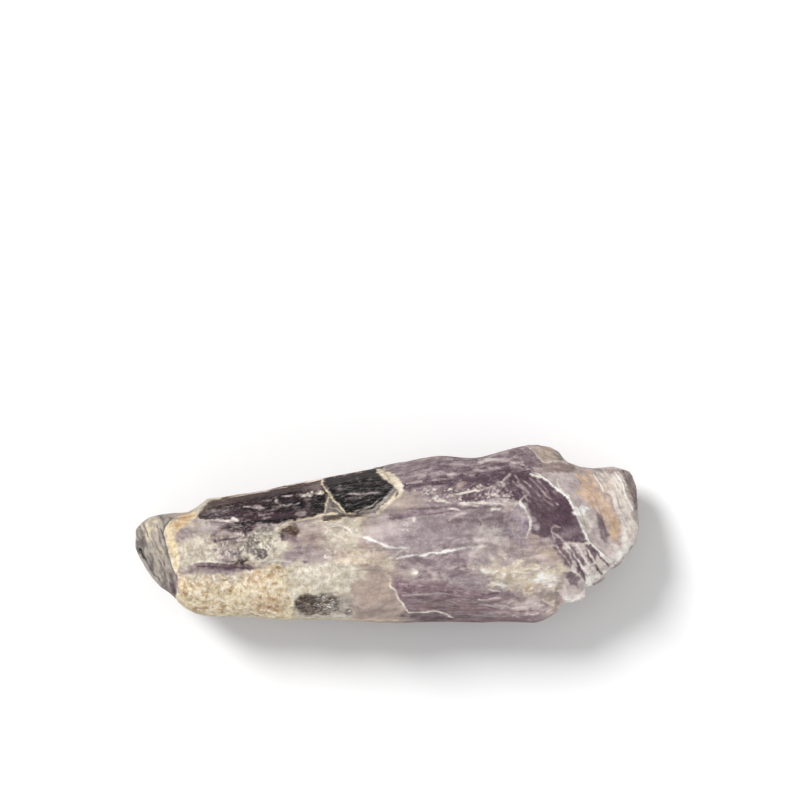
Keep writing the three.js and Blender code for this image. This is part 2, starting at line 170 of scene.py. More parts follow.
# areas that two stroke families share
areas = {
    "northFace": [(3.8, 11.3), (11, 13.6), (21.1, 14.7), (25.2, 14), (25.1, 11.5), (17.4, 11.3), (10, 9.9)],
    "lowerSkirt": [(2.2, -7.8), (14.6, -9.2), (21, -10.2), (26.3, -11), (26.9, -14.1), (17.6, -14.5),
        (5.4, -12.7)],
    "westFoot": [(-36.8, -6.9), (-25.5, -6.2), (-21.8, -4.8), (-15.3, -5.3), (-15.8, -10.2), (-16.9, -13.8),
        (-25.6, -14.1), (-34.6, -12.9)],
    "underside": [(-34, 6), (30, 12), (36, -6), (20, -13), (-32, -12)],
}
shardLooks["patches"] = [
    ("middle haze", "lilac", 3, 0.9, [(10.5, -0.1), (12.9, 7.6)]),
    ("middle grey purple", "mauve", 1.6, 0.6, [(15.1, 4), (5.3, 2.1)]),
    ("middle low grey", "mauve", 1.8, 0.8, [(10.5, -3.8), (6, 2.1)]),
    ("middle east pale", "pinkWhite", 1.5, 0.5, [(18.3, -1), (3.4, 3.6)]),
    ("middle dusk", "mauve", 1, 0.9, [(12, -4.2), (2.4, 1.8)]),
    ("middle pale west", "pinkWhite", 0.8, 0.35, [(4.3, -2.1), (2.2, 1.2)]),
    ("middle dusk low", "plum", 0.8, 0.25, [(7.6, -6.2), (2, 1)]),
    ("north face", "mauve", 0.5, 0.9, [(-1.1, 12.5), (3.1, 13.4), (5.9, 13.9), (11.1, 14.3), (15.5, 14.3),
        (21.1, 15.4), (22.3, 15.8), (25.6, 16.2), (27.6, 13.5), (25.8, 11.5), (21.1, 11.3), (17, 10.6),
        (10, 9), (3.1, 8.8)], {"streak": 0.4, "way": 9}),
    ("north dark band", "plum", 0.7, 0.56, [(2.5, 8.7), (9, 9.3), (16, 10.4), (21, 11.1), (25, 11),
        (25.2, 12.5), (20, 12.6), (14, 11.5), (8, 10.4), (3, 9.8)], {"streak": 0.5, "way": 8}),
    ("beige lilac shoulder", "shoulderGrey", 0.8, 1, [(1.7, 6.7), (3.5, 1.8)]),
    ("lilac pink plain", "paleLilac", 1, 0.85, [(-1.7, 1.7), (2.8, 2.5)]),
    ("pink beige plain", "pinkBeige", 0.7, 0.9, [(-6.7, -14.3), (-6.3, -9), (-4.7, -6.9), (-1.9, -4.8),
        (-2.4, -4.8), (-0.4, -6.1), (0.4, -8.5), (1.7, -10.9), (3.8, -13.8), (3.4, -16.5), (-6.5, -16.5)]),
    ("lower skirt", "skirtPlum", 0.5, 0.95, [(0.6, -7.1), (3.8, -7.3), (8.2, -7.5), (14.6, -8.9),
        (20.9, -9.8), (22, -10.1), (26.8, -10.8), (29.2, -12.3), (27.8, -16.2), (22.5, -16.6),
        (17.8, -16.8), (14.5, -17), (7.8, -16.8), (5, -16.4), (3.8, -13.3), (2.1, -11.2)],
        {"streak": 0.25, "clear": 0.3, "way": -3}),
    ("skirt dark", "plum", 0.8, 0.2, [(7, -11.4), (4.4, 1.3)]),
    ("skirt darkest", "plum", 0.4, 0.5, [(8.3, -14.5), (3.9, 0.7)]),
    ("skirt low plum", "plum", 0.6, 0.66, [(9.4, -13.7), (6.5, 1.3)], {"clear": 0.3}),
    ("skirt rose", "skirtRose", 0.8, 0.5, [(11.2, -11.9), (6, 1.7)], {"streak": 0.3, "clear": 0.3}),
    ("skirt right dark", "mauve", 0.5, 0.2, [(21.1, -14), (4.4, 0.6)]),
    ("skirt right haze", "pinkWhite", 1, 0.8, [(25.3, -12.2), (4.8, 1.8)]),
    ("west cap", "smoke", 0.18, 1, [(-38.1, 4.3), (-38.8, 3), (-39.5, 1.8), (-39.8, 0.4), (-39.3, -1.4),
        (-38.9, -3.2), (-38.2, -5.1), (-37.5, -6.7), (-37.6, -8.5), (-38.2, -11.6), (-40.2, -10.9),
        (-43.6, -5.4), (-45.9, -1.9), (-45.5, 1.6), (-42.9, 4)],
        {"clear": 0.8, "streak": 0.25, "way": -66}),
    ("cap lower dark", "darkSmoke", 0.5, 0.7, [(-39.1, -8.2), (1.4, 2.8)]),
    ("cap top dark", "darkSmoke", 0.3, 0.12, [(-40.1, 3.4), (2.5, 0.5)]),
    ("cap left dark", "darkSmoke", 0.3, 0.35, [(-45, -1.4), (0.5, 2.8)]),
    # painted highlights in cream on the rounded face of the cap
    ("cap cream light", "cream", 0.35, 0.85, [(-42.8, 0.6), (0.7, 1.7)], {"turn": 10}),
    ("cap cream light two", "ivory", 0.3, 0.8, [(-42.3, -0.7), (0.3, 0.7)]),
    ("cap cream light three", "cream", 0.3, 0.4, [(-41.4, 1.8), (0.5, 0.9)]),
    ("cap cream streak", "cream", 0.3, 0.6, [(-40.4, -3.1), (0.5, 2.4)], {"turn": 22}),
    ("cap top light", "cream", 0.5, 0.6, [(-43.2, 2.1), (1.7, 0.8)], {"turn": 25}),
    ("west crust", "cream", 0.8, 1, [(-37.3, -6.4), (-34.4, -6.4), (-30.1, -6.5), (-26.4, -6.3),
        (-23.6, -5.1), (-23.7, -5.8), (-21.6, -4.2), (-18.1, -4.5), (-15.3, -5), (-12.1, -8.8),
        (-15.1, -10.9), (-16.3, -16), (-25.6, -16), (-28.3, -15.8), (-34.5, -15.5), (-36.6, -13.7),
        (-38.1, -11.6)], {"crust": 1}),
    ("crust above the lens", "greenWhite", 0.9, 0.85, [(-37.4, -0.8), (-34.3, 0.6), (-31, 0.2),
        (-26.4, -1.6), (-21.5, 2.4), (-17.4, 2), (-16.6, -1.5), (-17.6, -4), (-21.6, -4.2), (-25, -4.8),
        (-24.5, -4.8), (-28.2, -3.9), (-31.5, -4.3), (-34.6, -4.6), (-36.5, -5)], {"crust": 0.75}),
    ("west grey lilac", "smoke", 0.6, 0.3, [(-33.3, 1.9), (2.9, 1.2)]),
    ("west cream", "cream", 0.6, 0.35, [(-34.5, 2.9), (2.2, 1.2)], {"crust": 0.5}),
    ("west dusky", "mauve", 0.6, 0.6, [(-35.5, 0.5), (1.8, 0.9)]),
    ("west lilac two", "lilac", 0.6, 0.7, [(-28, -2.3), (2.1, 1)]),
    ("tan crust west", "tan", 1, 0.34, [(-32, -7.9), (4.6, 1.4)], {"crust": 1}),
    ("orange crust one", "orange", 1, 0.75, [(-21.1, -7.2), (3.5, 1.8)], {"crust": 0.9}),
    ("orange crust two", "orange", 0.8, 0.72, [(-20.8, -11.9), (3.5, 1.4)], {"crust": 0.9}),
    ("orange crust three", "orange", 0.8, 0.45, [(-23, -8.6), (2.1, 1.6)], {"crust": 0.9}),
    ("rust one", "rust", 0.25, 0.7, [(-35.6, -9.8), (0.5, 0.6)], {"crust": 1}),
    ("rust two", "rust", 0.3, 0.45, [(-32.7, -12.7), (2.5, 0.5)], {"crust": 1}),
    ("rust three", "rust", 0.3, 0.5, [(-20.2, -12.8), (1.6, 0.4)], {"crust": 1}),
    ("rust four", "rust", 0.2, 0.7, [(-21.9, -10.5), (0.7, 0.3)], {"crust": 1}),
    ("green white middle", "greenWhite", 1.1, 0.9, [(-18.1, -4.5), (-15.3, -3.2), (-12.1, -4.4),
        (-8.8, -3.1), (-6.1, -3.8), (-4.2, -6.6), (-6.3, -9), (-6.3, -16), (-16.5, -16), (-15.6, -10.9),
        (-18.1, -9)], {"crust": 0.5}),
    ("green white cloud", "greenWhite", 0.9, 0.85, [(-7.8, 1.3), (3.5, 2.8)], {"crust": 0.35}),
    ("cloud bright one", "cream", 0.4, 0.7, [(-5.4, 3), (1.5, 0.7)], {"crust": 0.3}),
    ("cloud bright two", "cream", 0.5, 0.4, [(-7.2, -0.1), (1.7, 0.9)], {"crust": 0.3}),
    ("cloud grey loop", "smoke", 0.35, 0.5, [(-9.1, 1.6), (1, 0.6)]),
    ("cloud soft shade", "smoke", 1, 0.3, [(-7.8, 1.3), (3.5, 2.8)], {"crust": 0.35}),
    ("warm beige cloud", "warmBeige", 0.9, 0.9, [(-5.1, -3.1), (3.2, 1.4)], {"crust": 0.5}),
    ("warm beige cloud two", "warmBeige", 1, 0.6, [(-0.5, -3.6), (2.8, 1.6)], {"crust": 0.4}),
    ("lilac patch one", "lilac", 0.5, 0.35, [(-14.8, -0.6), (2.1, 1.4)]),
    ("lilac patch two", "lilac", 0.4, 0.8, [(-17.4, -3.2), (1.6, 0.9)]),
    ("lilac patch three", "lilac", 0.6, 0.35, [(-13, -2.8), (3, 1.3)]),
    ("lilac dark spot one", "mauve", 0.3, 0.8, [(-15.5, -1.9), (0.9, 0.6)]),
    ("lilac dark spot two", "plum", 0.2, 0.7, [(-14.3, -4.1), (0.6, 0.3)]),
    ("lilac dark spot three", "mauve", 0.3, 0.6, [(-12.9, 0.3), (0.7, 0.6)]),
    ("green dark blotch", "darkBrown", 0.35, 1, [(-17.1, 0.9), (1.7, 1)], {"fleck": 0.3}),
    ("green dark blotch two", "brown", 0.2, 0.6, [(-18.3, 0.1), (0.5, 0.5)]),
    ("green dark blotch three", "darkBrown", 0.2, 0.8, [(-16, 1.5), (0.7, 0.8)], {"fleck": 0.3}),
    ("green dark blotch four", "darkBrown", 0.2, 0.7, [(-18.1, 1), (0.6, 0.6)], {"fleck": 0.3}),
    ("green shade by the crystal", "brownGrey", 0.8, 0.35, [(-11.7, 1.7), (3.4, 1.1)], {"crust": 0.6}),
    ("speckle dark one", "brownGrey", 0.25, 0.8, [(-24.3, -0.2), (1.1, 0.7)], {"crust": 0.8, "fleck": 0.2}),
    ("speckle dark two", "darkSmoke", 0.25, 0.7, [(-22.1, -2.6), (1, 0.7)], {"fleck": 0.2}),
    ("speckle dark three", "plum", 0.25, 0.75, [(-24.9, -5), (1, 0.5)], {"fleck": 0.2}),
    ("speckle dark four", "darkSmoke", 0.3, 0.75, [(-25, -0.6), (2, 0.9)], {"crust": 0.8, "fleck": 0.2}),
    ("speckle dark five", "darkSmoke", 0.2, 0.6, [(-21.1, 1.7), (1.4, 0.4)], {"fleck": 0.2}),
    ("speckle dark six", "plum", 0.4, 0.6, [(-27.8, -0.5), (2, 0.5)], {"crust": 0.8, "fleck": 0.2}),
    ("speckle dark seven", "darkSmoke", 0.5, 0.7, [(-23.5, -1.5), (1.6, 1)], {"crust": 0.8, "fleck": 0.2}),
    ("speckle dark eight", "bandPlum", 0.2, 0.7, [(-22, -3), (0.8, 0.6)], {"fleck": 0.2}),
    ("speckle lilac smudge", "mauve", 0.6, 0.85, [(-28.2, -2.9), (1.9, 1.1)]),
    ("grey blotch high", "darkSmoke", 0.35, 0.8, [(-21, 1.7), (1.1, 0.6)], {"fleck": 0.4}),
    ("grey blotch small", "plum", 0.2, 0.7, [(-18.3, 0.2), (0.5, 0.5)], {"fleck": 0.3}),
    ("grey blotch low", "mauve", 0.4, 0.75, [(-16.6, -0.1), (1, 0.6)], {"fleck": 0.3}),
    ("cream rim", "rimCream", 0.2, 1, [(-34.4, 4.5), (-35.9, 4), (-37.4, 3.4), (-38.8, 2.7), (-39.5, 1.6),
        (-39.8, 0.4), (-39.3, -1.4), (-38.9, -3.2), (-38.2, -5.1), (-37.6, -6.3), (-37, -6.2),
        (-36.7, -4.5), (-37.1, -2.7), (-37.5, -0.8), (-37.4, 0.8), (-36.6, 1.9), (-35.6, 2.5), (-34.3, 3.2),
        (-33.8, 4)], {"crust": 0.6, "lift": 0.08}),
    ("rim orange one", "deepOrange", 0.35, 0.85, [(-36.6, 2.8), (2.2, 0.8)], {"turn": 28, "crust": 0.3}),
    ("rim orange two", "orange", 0.35, 0.55, [(-38, 1.1), (0.7, 1.4)], {"crust": 0.3}),
    ("crystal band", "bandPlum", 0.25, 1, [(-33.7, 4.2), (-32, 6), (-30.4, 6.7), (-28.2, 7.2), (-26, 7.7),
        (-22.3, 8.4), (-19.5, 9.2), (-16.2, 9.9), (-12, 10.8), (-11.3, 9.8), (-8.8, 7.2), (-7.2, 4.5),
        (-11.1, 4.2), (-15.3, 3.4), (-18.1, 2.9), (-21.5, 2.7), (-25, 2.6), (-28, 3.1), (-33.4, 3.2)],
        {"clear": 1, "crust": 0, "streak": 0.35}),
    ("band tail", "deepPlum", 0.5, 0.75, [(-30.9, 0.6), (-27.5, 1.1), (-24.5, 1.1), (-23.1, 1.7),
        (-23.5, 2.3), (-26.5, 2.1), (-29.4, 1.6)], {"clear": 0.5, "streak": 1}),
    ("band tail two", "deepPlum", 0.35, 0.7, [(-28.5, 2.4), (-26, 2.5), (-22.5, 2.7), (-18.6, 3),
        (-19.6, 2.6), (-23.5, 2.2), (-27.5, 1.9)], {"clear": 0.5, "streak": 1}),
    ("band west sheen", "mauve", 0.5, 0.6, [(-29.3, 4.4), (2.6, 0.7)], {"turn": 8, "clear": 0.8}),
    ("band left tip", "darkSmoke", 0.3, 0.6, [(-31.8, 5.1), (1.8, 0.8)]),
    ("band left edge", "greenWhite", 0.3, 0.55, [(-32.9, 5.4), (1.4, 0.6)], {"turn": 30, "crust": 0.4}),
    ("band left stripes", "darkSmoke", 0.35, 0.6, [(-33.4, 4.1), (-32.2, 4.8), (-29.9, 4.8), (-26.6, 4.5),
        (-26.3, 3.6), (-29.1, 3.3), (-32.1, 3.4)], {"streak": 1, "fleck": 0.2}),
    ("band brown top", "brown", 0.25, 0.75, [(-13.3, 9.2), (2.2, 0.6)], {"turn": 10, "clear": 0.8}),
    ("band red streak", "rust", 0.3, 0.35, [(-20.6, 7.2), (-17.9, 8.3), (-15, 9.2), (-12.8, 9.5),
        (-12.9, 9.2), (-14.8, 8.8), (-17.7, 7.8), (-20.1, 6.7)], {"clear": 0.8}),
    ("band red streak dark", "black", 0.3, 0.6, [(-21.6, 6.9), (-18.8, 8), (-16.4, 8.7), (-15.3, 8.5),
        (-17.6, 7.5), (-20.6, 6.5)], {"clear": 0.9}),
    ("band black one", "black", 0.4, 0.6, [(-22.5, 5), (3.6, 0.6)], {"turn": 4, "clear": 1}),
    ("band black five", "black", 0.25, 0.95, [(-16, 6.6), (1.5, 0.5)], {"clear": 1}),
    ("band low mauve", "deepPlum", 0.4, 0.5, [(-33.4, 4.2), (-27.5, 4.6), (-21.5, 4.3), (-16.6, 4.3),
        (-15.6, 3.6), (-18.6, 3.3), (-24.5, 3.3), (-32.4, 3.4)], {"clear": 0.9}),
    ("band low dark", "black", 0.25, 0.6, [(-24, 3.1), (-18.6, 3.4), (-15.9, 3.7), (-16.1, 3.3),
        (-18.6, 2.9), (-24, 2.6)], {"clear": 0.9}),
    ("band black three", "deepPlum", 0.2, 0.8, [(-21.5, 4.1), (4, 0.6)], {"clear": 1}),
    ("band black four", "deepPlum", 0.2, 0.6, [(-23, 6.4), (2.5, 0.5)], {"turn": 6, "clear": 1}),
    ("band grey gap", "mauve", 0.35, 0.45, [(-14.3, 5.8), (0.7, 1.4)]),
    ("band black two", "black", 0.35, 0.95, [(-16.9, 5.8), (2.1, 1)], {"clear": 1}),
    ("band dark window", "black", 0.3, 0.6, [(-13.5, 7.2), (-12.1, 7.4), (-10.9, 7.2), (-11, 5.4),
        (-11.4, 4.5), (-13, 4.5), (-13.6, 5.8)], {"clear": 1}),
    ("band pale low patch", "lilac", 0.25, 0.8, [(-15.1, 4.3), (0.9, 0.5)]),
    ("crystal triangle", "darkSmoke", 0.15, 0.9, [(-10.9, 7.8), (-9.9, 8), (-6.9, 4.4), (-8.8, 3.5),
        (-11.1, 3.3), (-11.1, 4.5), (-10.8, 5.4)], {"crust": 0.15}),
    ("crystal end", "black", 0.15, 0.98, [(-11.4, 10.3), (-7.4, 11.1), (-2.2, 11.8), (0, 10.4), (1.2, 8.9),
        (-0.5, 6.7), (-2.5, 5.3), (-5.1, 4.7), (-7.3, 4.7), (-9.1, 7.2)],
        {"clear": 1, "crust": 0, "streak": 0.15, "way": 4}),
    ("crystal end sheen", "darkSmoke", 0.6, 0.22, [(-3.4, 8.6), (2.6, 1.5)], {"turn": 8, "clear": 0.9}),
    ("crystal end grey corner", "darkSmoke", 0.5, 0.5, [(-4.1, 11.8), (-1.6, 12.2), (0.8, 9.8), (-0.1, 8.2),
        (-1.9, 9.3)], {"clear": 0.6, "fleck": 0.25}),
    ("crystal end grey west", "darkSmoke", 0.4, 0.4, [(-10.1, 9.6), (-7.4, 10), (-6.5, 9.1), (-8.6, 8.7)],
        {"clear": 0.6, "fleck": 0.25}),
    ("crystal end bevel", "darkSmoke", 0.14, 0.85, [(1, 9.1), (1.8, 8.5), (0.2, 6.5), (-1.75, 4.4),
        (-5.6, 3.9), (-5.2, 4.5), (-2.6, 5), (-1, 6.4), (0.2, 8.1)], {"crust": 0.3}),
    ("crystal north wall", "bandPlum", 0.3, 1, [(-33.5, 5), (-20, 7.4), (-2, 10), (-0.8, 12.2), (-3, 12.2),
        (-7.4, 11), (-11, 10.1), (-13, 9.8), (-16, 9.2), (-18, 8.6), (-20, 8.2), (-22.5, 7.9), (-25, 7.4),
        (-27, 7), (-30, 6.4), (-33.5, 5.6)],
        {"facing": (0, 1), "clump": 0.5, "rag": 0.5, "crust": 0, "streak": 0.1, "clear": 0.9, "way": 8}),
    ("crystal wall dark", "black", 0.8, 0.7, [(-7, 9), (-3, 10), (-1.5, 12), (-7, 11), (-11, 10.2),
        (-10, 9.5)], {"facing": (0, 1), "streak": 0.1, "clear": 0.9}),
    ("band north edge", "beige", 0.3, 0.95, [(-33.4, 5.7), (-32.3, 6.1), (-29.5, 6.6), (-26.8, 6.9),
        (-24.1, 7.4), (-21.3, 8), (-18.6, 8.6), (-15.9, 9.1), (-13.1, 9.8), (-10.4, 10.5), (-7.7, 11),
        (-4.9, 11.5), (-2.4, 12.2), (-2.4, 13.5), (-13, 11.8), (-24, 9.5), (-33.4, 7.5)],
        {"clear": 0.2, "crust": 0.3}),
    ("band left haze", "greenWhite", 0.35, 0.9, [(-35.3, 4.8), (-34.3, 6.3), (-32.8, 7.3), (-29.7, 7.6),
        (-29.4, 7), (-31.5, 6.3), (-32.8, 5.6), (-34.1, 4.4)], {"crust": 0.4, "fleck": 0.2}),
    ("band left brown", "brown", 0.45, 0.7, [(-32.9, 5.2), (-31.4, 6.1), (-28.6, 6.9), (-26.6, 6.8),
        (-27.9, 6), (-30.6, 5), (-32.3, 4.6)], {"clear": 0.4, "streak": 0.4}),
    ("band top red brown", "wallBrown", 0.3, 0.95, [(-28.6, 6.8), (-24.7, 7.7), (-19.3, 8.9), (-13.9, 9.9),
        (-11.7, 10), (-12.3, 9.4), (-17.3, 8.5), (-22.3, 7.5), (-27.6, 6.3)],
        {"clear": 0.8, "streak": 0.3}),
    ("band top brown east", "brownGrey", 0.4, 0.75, [(-14.8, 8.4), (-14.1, 8.9), (-12.7, 9.4), (-11.1, 9.8),
        (-11.1, 8.6), (-12.8, 8.2)], {"clear": 0.5, "streak": 0.5}),
    ("band black high", "black", 0.2, 0.9, [(-18.3, 6.9), (1.8, 0.4)], {"turn": 6, "clear": 1}),
    ("band black low", "black", 0.2, 0.9, [(-18.8, 5.2), (2.1, 0.5)], {"turn": 2, "clear": 1}),
    ("arrow frame", "yellowCream", 0.18, 0.95, [(-2.2, 12), (-0.6, 12), (1.4, 11), (3.2, 9), (2.6, 7.7),
        (0.7, 6.1), (-1.5, 4), (-1.75, 4.4), (0.2, 6.5), (1.8, 8.5), (0.6, 9.7), (-1.1, 10.9)],
        {"crust": 0.4, "lift": 0.1, "fleck": 0.15}),
    ("arrow white", "ivory", 0.2, 0.6, [(2.5, 9), (0.6, 0.6)]),
    ("arrow mark", "brown", 0.1, 0.9, [(1.8, 7.8), (0.2, 0.6)], {"turn": -18}),
    ("low lens", "mauve", 0.4, 0.6, [(-29.9, -5.4), (5.3, 0.8)], {"turn": 2, "clear": 0.6, "crust": 0}),
    ("lens smudge", "mauve", 0.5, 0.5, [(-29.5, -5.9), (3, 0.5)], {"clear": 0.5, "crust": 0.2}),
    ("lens smudge two", "mauve", 0.4, 0.65, [(-28, -3.5), (2.2, 0.5)], {"clear": 0.4, "crust": 0.3}),
    ("grey below the lens", "smoke", 0.7, 0.55, [(-29.5, -6.9), (5, 0.9)], {"crust": 0.5}),
    ("low lens dark", "plum", 0.25, 0.9, [(-27.2, -5.1), (3.1, 0.4)],
        {"turn": 2, "clear": 0.8, "crust": 0}),
    ("south window", "windowBrown", 0.35, 0.9, [(-14, -11.8), (2.2, 2.1)],
        {"clump": 0.7, "rag": 0.6, "crust": 0.3, "fleck": 0.2}),
    ("south window east", "windowBrown", 0.4, 0.8, [(-10.9, -11.7), (2.4, 2)],
        {"clump": 1, "rag": 0.8, "crust": 0.4, "fleck": 0.6}),
    ("south window dark", "darkBrown", 0.4, 0.9, [(-14.3, -11.8), (1.4, 1.2)], {"turn": 35, "crust": 0.2}),
    ("south window dark two", "darkBrown", 0.25, 0.8, [(-12.8, -13.5), (1.6, 0.5)],
        {"turn": -10, "crust": 0.2}),
    ("south window pale", "greenWhite", 0.4, 0.5, [(-11, -12.1), (1.2, 0.7)], {"fleck": 0.8, "crust": 0.4}),
    ("south speckle one", "darkSmoke", 0.5, 0.35, [(-8.4, -11.9), (2.2, 1.7)],
        {"fleck": 0.7, "crust": 0.3}),
    ("south spot one", "darkBrown", 0.25, 0.75, [(-9.6, -10.3), (0.7, 0.4)], {"fleck": 0.4}),
    ("south spot two", "darkBrown", 0.2, 0.7, [(-9, -11.6), (0.4, 0.4)], {"fleck": 0.4}),
    ("south spot three", "darkBrown", 0.2, 0.7, [(-6.9, -13), (0.5, 0.7)], {"fleck": 0.4}),
    ("south speckle two", "darkSmoke", 0.25, 0.6, [(-6.8, -13.2), (0.6, 0.7)], {"fleck": 0.6}),
    ("cream speckle one", "lilac", 0.9, 0.6, [(9.1, 7.7), (3.8, 1.2)], {"fleck": 0.3}),
    ("cream speckle two", "paleLilac", 0.5, 0.4, [(11.2, 8.4), (1.4, 1)], {"fleck": 0.3}),
    ("speckle north shade", "mauve", 0.7, 0.85, [(9.5, 7.7), (3, 1.1)], {"fleck": 0.25}),
    ("cream speckle three", "paleLilac", 0.7, 0.4, [(3.1, 2.1), (2.5, 1.4)], {"fleck": 0.7}),
    ("cream speckle four", "ivory", 0.2, 0.7, [(4.7, 3.4), (0.4, 0.5)]),
    ("cream speckle five", "ivory", 0.3, 0.7, [(4.7, -5.7), (0.7, 0.6)]),
    ("cream speckle six", "paleLilac", 0.5, 0.2, [(10, -4.9), (1.4, 1)], {"fleck": 0.4}),
    ("dark mottle west", "plum", 0.9, 0.8, [(15.6, 8.2), (4.6, 1.7)], {"fleck": 0.2}),
    ("dark mottle core", "plum", 0.5, 0.6, [(18.9, 7.2), (1.8, 0.9)], {"fleck": 0.3}),
    ("east window", "plum", 0.3, 0.95, [(17.4, 10.3), (21.1, 11.4), (25.4, 11.5), (28.6, 10.2), (30.4, 8.6),
        (31.9, 7.2), (32.7, 5.3), (33.7, 3.5), (34.6, 1.4), (35.3, -0.8), (33.6, -1.1), (31.2, -0.6),
        (29.4, -0.2), (25.8, 0.5), (25.4, 2.1), (25.5, 3.5), (25.2, 4.9), (24.6, 6.3), (22.9, 6.7),
        (20.1, 7.2), (17.3, 6.8)], {"clear": 1, "way": -48}),
    ("window dark core", "deepPlum", 0.4, 0.9, [(18.8, 11.4), (21.7, 11.9), (25.2, 12), (26.2, 11.4),
        (24.1, 10.6), (21.2, 10.5), (18.2, 10.6)], {"clear": 1}),
    ("window dark flow", "plum", 0.5, 0.8, [(13.3, 11), (18.8, 11.4), (20.7, 10.4), (22.1, 8.7),
        (19.7, 8.2), (16.7, 8.7), (13.8, 9.9)], {"clear": 0.8}),
    ("window dark leaf", "plum", 0.4, 0.7, [(16.2, 7.5), (3, 0.8)], {"turn": 9, "clear": 0.7}),
    ("window low right", "mauve", 1, 0.9, [(33, 1.4), (1.6, 2)], {"clear": 0.8}),
    ("window low sheen", "lilac", 0.8, 0.25, [(33.3, 0.6), (1.4, 1.4)], {"clear": 0.6}),
    ("east window dark one", "windowPlum", 0.5, 0.95, [(31.2, 6.2), (1.1, 1.4)], {"turn": -30, "clear": 1}),
    ("east window dark two", "windowPlum", 0.4, 0.95, [(22.9, 11.3), (3, 0.6)], {"turn": 4, "clear": 1}),
    ("east window dark three", "windowPlum", 0.6, 0.7, [(28.3, 8.3), (2.1, 1.4)],
        {"turn": -35, "clear": 1}),
    ("east window dark four", "windowPlum", 0.8, 0.85, [(30.3, 3.3), (3, 1.8)], {"clear": 1}),
    ("east window low haze", "lilac", 0.5, 0.4, [(30.3, -0.2), (2.5, 0.7)]),
    ("frosty oval", "frost", 1, 0.85, [(23.4, 2.7), (3, 2.9)], {"fleck": 0.25}),
    ("frosty oval lilac", "frostDark", 0.3, 0.7, [(24.8, 2.1), (0.8, 1.3)]),
    ("frosty oval pale", "paleLilac", 0.5, 0.6, [(22.2, 1.8), (1, 1.2)], {"fleck": 0.6}),
    ("frosty oval violet", "frostDark", 0.6, 0.25, [(22.3, 2.4), (1.6, 1.9)], {"fleck": 0.3}),
    ("frosty oval foot", "mauve", 0.8, 0.4, [(23.5, -0.4), (2, 0.9)]),
    ("window west foot", "frostDark", 0.8, 0.45, [(26.5, -0.1), (1.8, 1.1)], {"fleck": 0.2}),
    ("frosty oval west shade", "mauve", 0.6, 0.45, [(20.7, 3.3), (1, 1.6)]),
    ("frosty oval spot", "mauve", 0.3, 0.5, [(23.2, 1.1), (0.5, 0.4)]),
    ("frosty oval west", "mauve", 0.8, 0.5, [(20.6, 3.8), (1.6, 1.4)]),
    ("frosty oval dark rim", "mauve", 0.5, 0.4, [(20.1, 4.5), (1.4, 2.1)]),
    ("window north haze", "plum", 0.9, 0.6, [(20.2, 9.4), (3.6, 1.4)], {"fleck": 0.1}),
    ("east lilac band", "paleLilac", 0.25, 1, [(27.5, 11.3), (30.6, 11.9), (33.8, 11.4), (34.6, 8.9),
        (36.4, 6.1), (37.8, 3.8), (39.5, 0.4), (40.9, -1.9), (41.2, -4.8), (39.1, -4.4), (37.1, -2.3),
        (35.6, -0.8), (34.6, 1.6), (33.7, 3.9), (32.7, 6), (31.3, 7.7), (29.9, 9)],
        {"crust": 0, "way": -60}),
    ("east orange band", "peach", 0.8, 0.95, [(33.8, 11.4), (37, 11.4), (38.2, 8.3), (40.6, 5), (41.8, 2.2),
        (41.5, -0.3), (39.8, 0.9), (38.2, 3.3), (36.2, 6.1), (34.4, 8.5)], {"way": -62}),
    ("orange band low", "tan", 0.7, 0.6, [(40.7, 1.9), (0.9, 1.7)], {"turn": -20, "way": -62}),
    ("orange band high", "tan", 0.6, 0.35, [(35.3, 8.6), (1.2, 1.6)], {"turn": -20, "way": -62}),
    ("orange band middle", "warmBeige", 0.6, 0.4, [(38.1, 5.7), (0.9, 1.4)], {"turn": -20, "way": -62}),
    ("orange lobe", "peach", 0.5, 0.8, [(39.6, 8.9), (1.7, 0.7)], {"turn": -55, "way": -62}),
    ("east cream band", "pinkWhite", 0.4, 0.8, [(38.2, 11.4), (41.5, 11.8), (43, 8.7), (44.2, 5.4),
        (44.8, 3.1), (45.6, 1.2), (45.2, -0.7), (42.8, -2.7), (41.9, -1.5), (41.9, 0.4), (41.9, 2.9),
        (40.6, 5.7), (38.9, 8.8)], {"crust": 0.1, "way": -62}),
    ("east cream warm", "orange", 0.5, 0.4, [(39.6, 9.7), (1, 1.4)]),
    ("east dark edge", "brownGrey", 0.25, 0.9, [(41, 12), (43.5, 12.1), (44.7, 10.3), (45.4, 8),
        (45.4, 4.9), (44.5, 5.3), (43.7, 8), (42, 10.1)], {"streak": 0.5, "way": -62}),
    ("east dark edge spot", "plum", 0.2, 0.8, [(44.8, 6.3), (0.4, 1.2)]),
    ("east dark edge west", "darkSmoke", 0.4, 0.25, [(40.7, 12.2), (42.5, 11.8), (43.9, 9.3), (44.5, 6.5),
        (43.7, 6.1), (42.1, 9)], {"way": -62}),
    ("east low grey", "smoke", 0.3, 0.6, [(44.8, 3.5), (0.7, 1.8)]),
    ("east purple streak", "mauve", 0.3, 0.9, [(37.2, 4.3), (38.4, 3.5), (39.6, 0.4), (39.2, -1),
        (38.2, -0), (37.5, 1.9)]),
    ("east pink white", "ivory", 0.5, 0.6, [(36, 2.2), (1, 1.8)], {"turn": -20}),
    ("east pinkish low", "pinkWhite", 0.5, 0.9, [(40.9, -2.8), (2.2, 1.4)]),
    ("east highlight", "white", 0.2, 0.7, [(42.8, 0.1), (0.6, 1)], {"turn": -15}),
    ("rim thick white", "white", 0.3, 1, [(34.5, 4.8), (1.5, 0.9)], {"turn": 10, "lift": 0.08}),
    ("rim thick white two", "ivory", 0.35, 0.6, [(35.4, 3), (0.9, 1.3)]),
    ("lobe", "olive", 0.4, 0.85, [(25.4, 16.2), (27.6, 16.5), (29.7, 15.8), (31.6, 14.3), (32.7, 12.9),
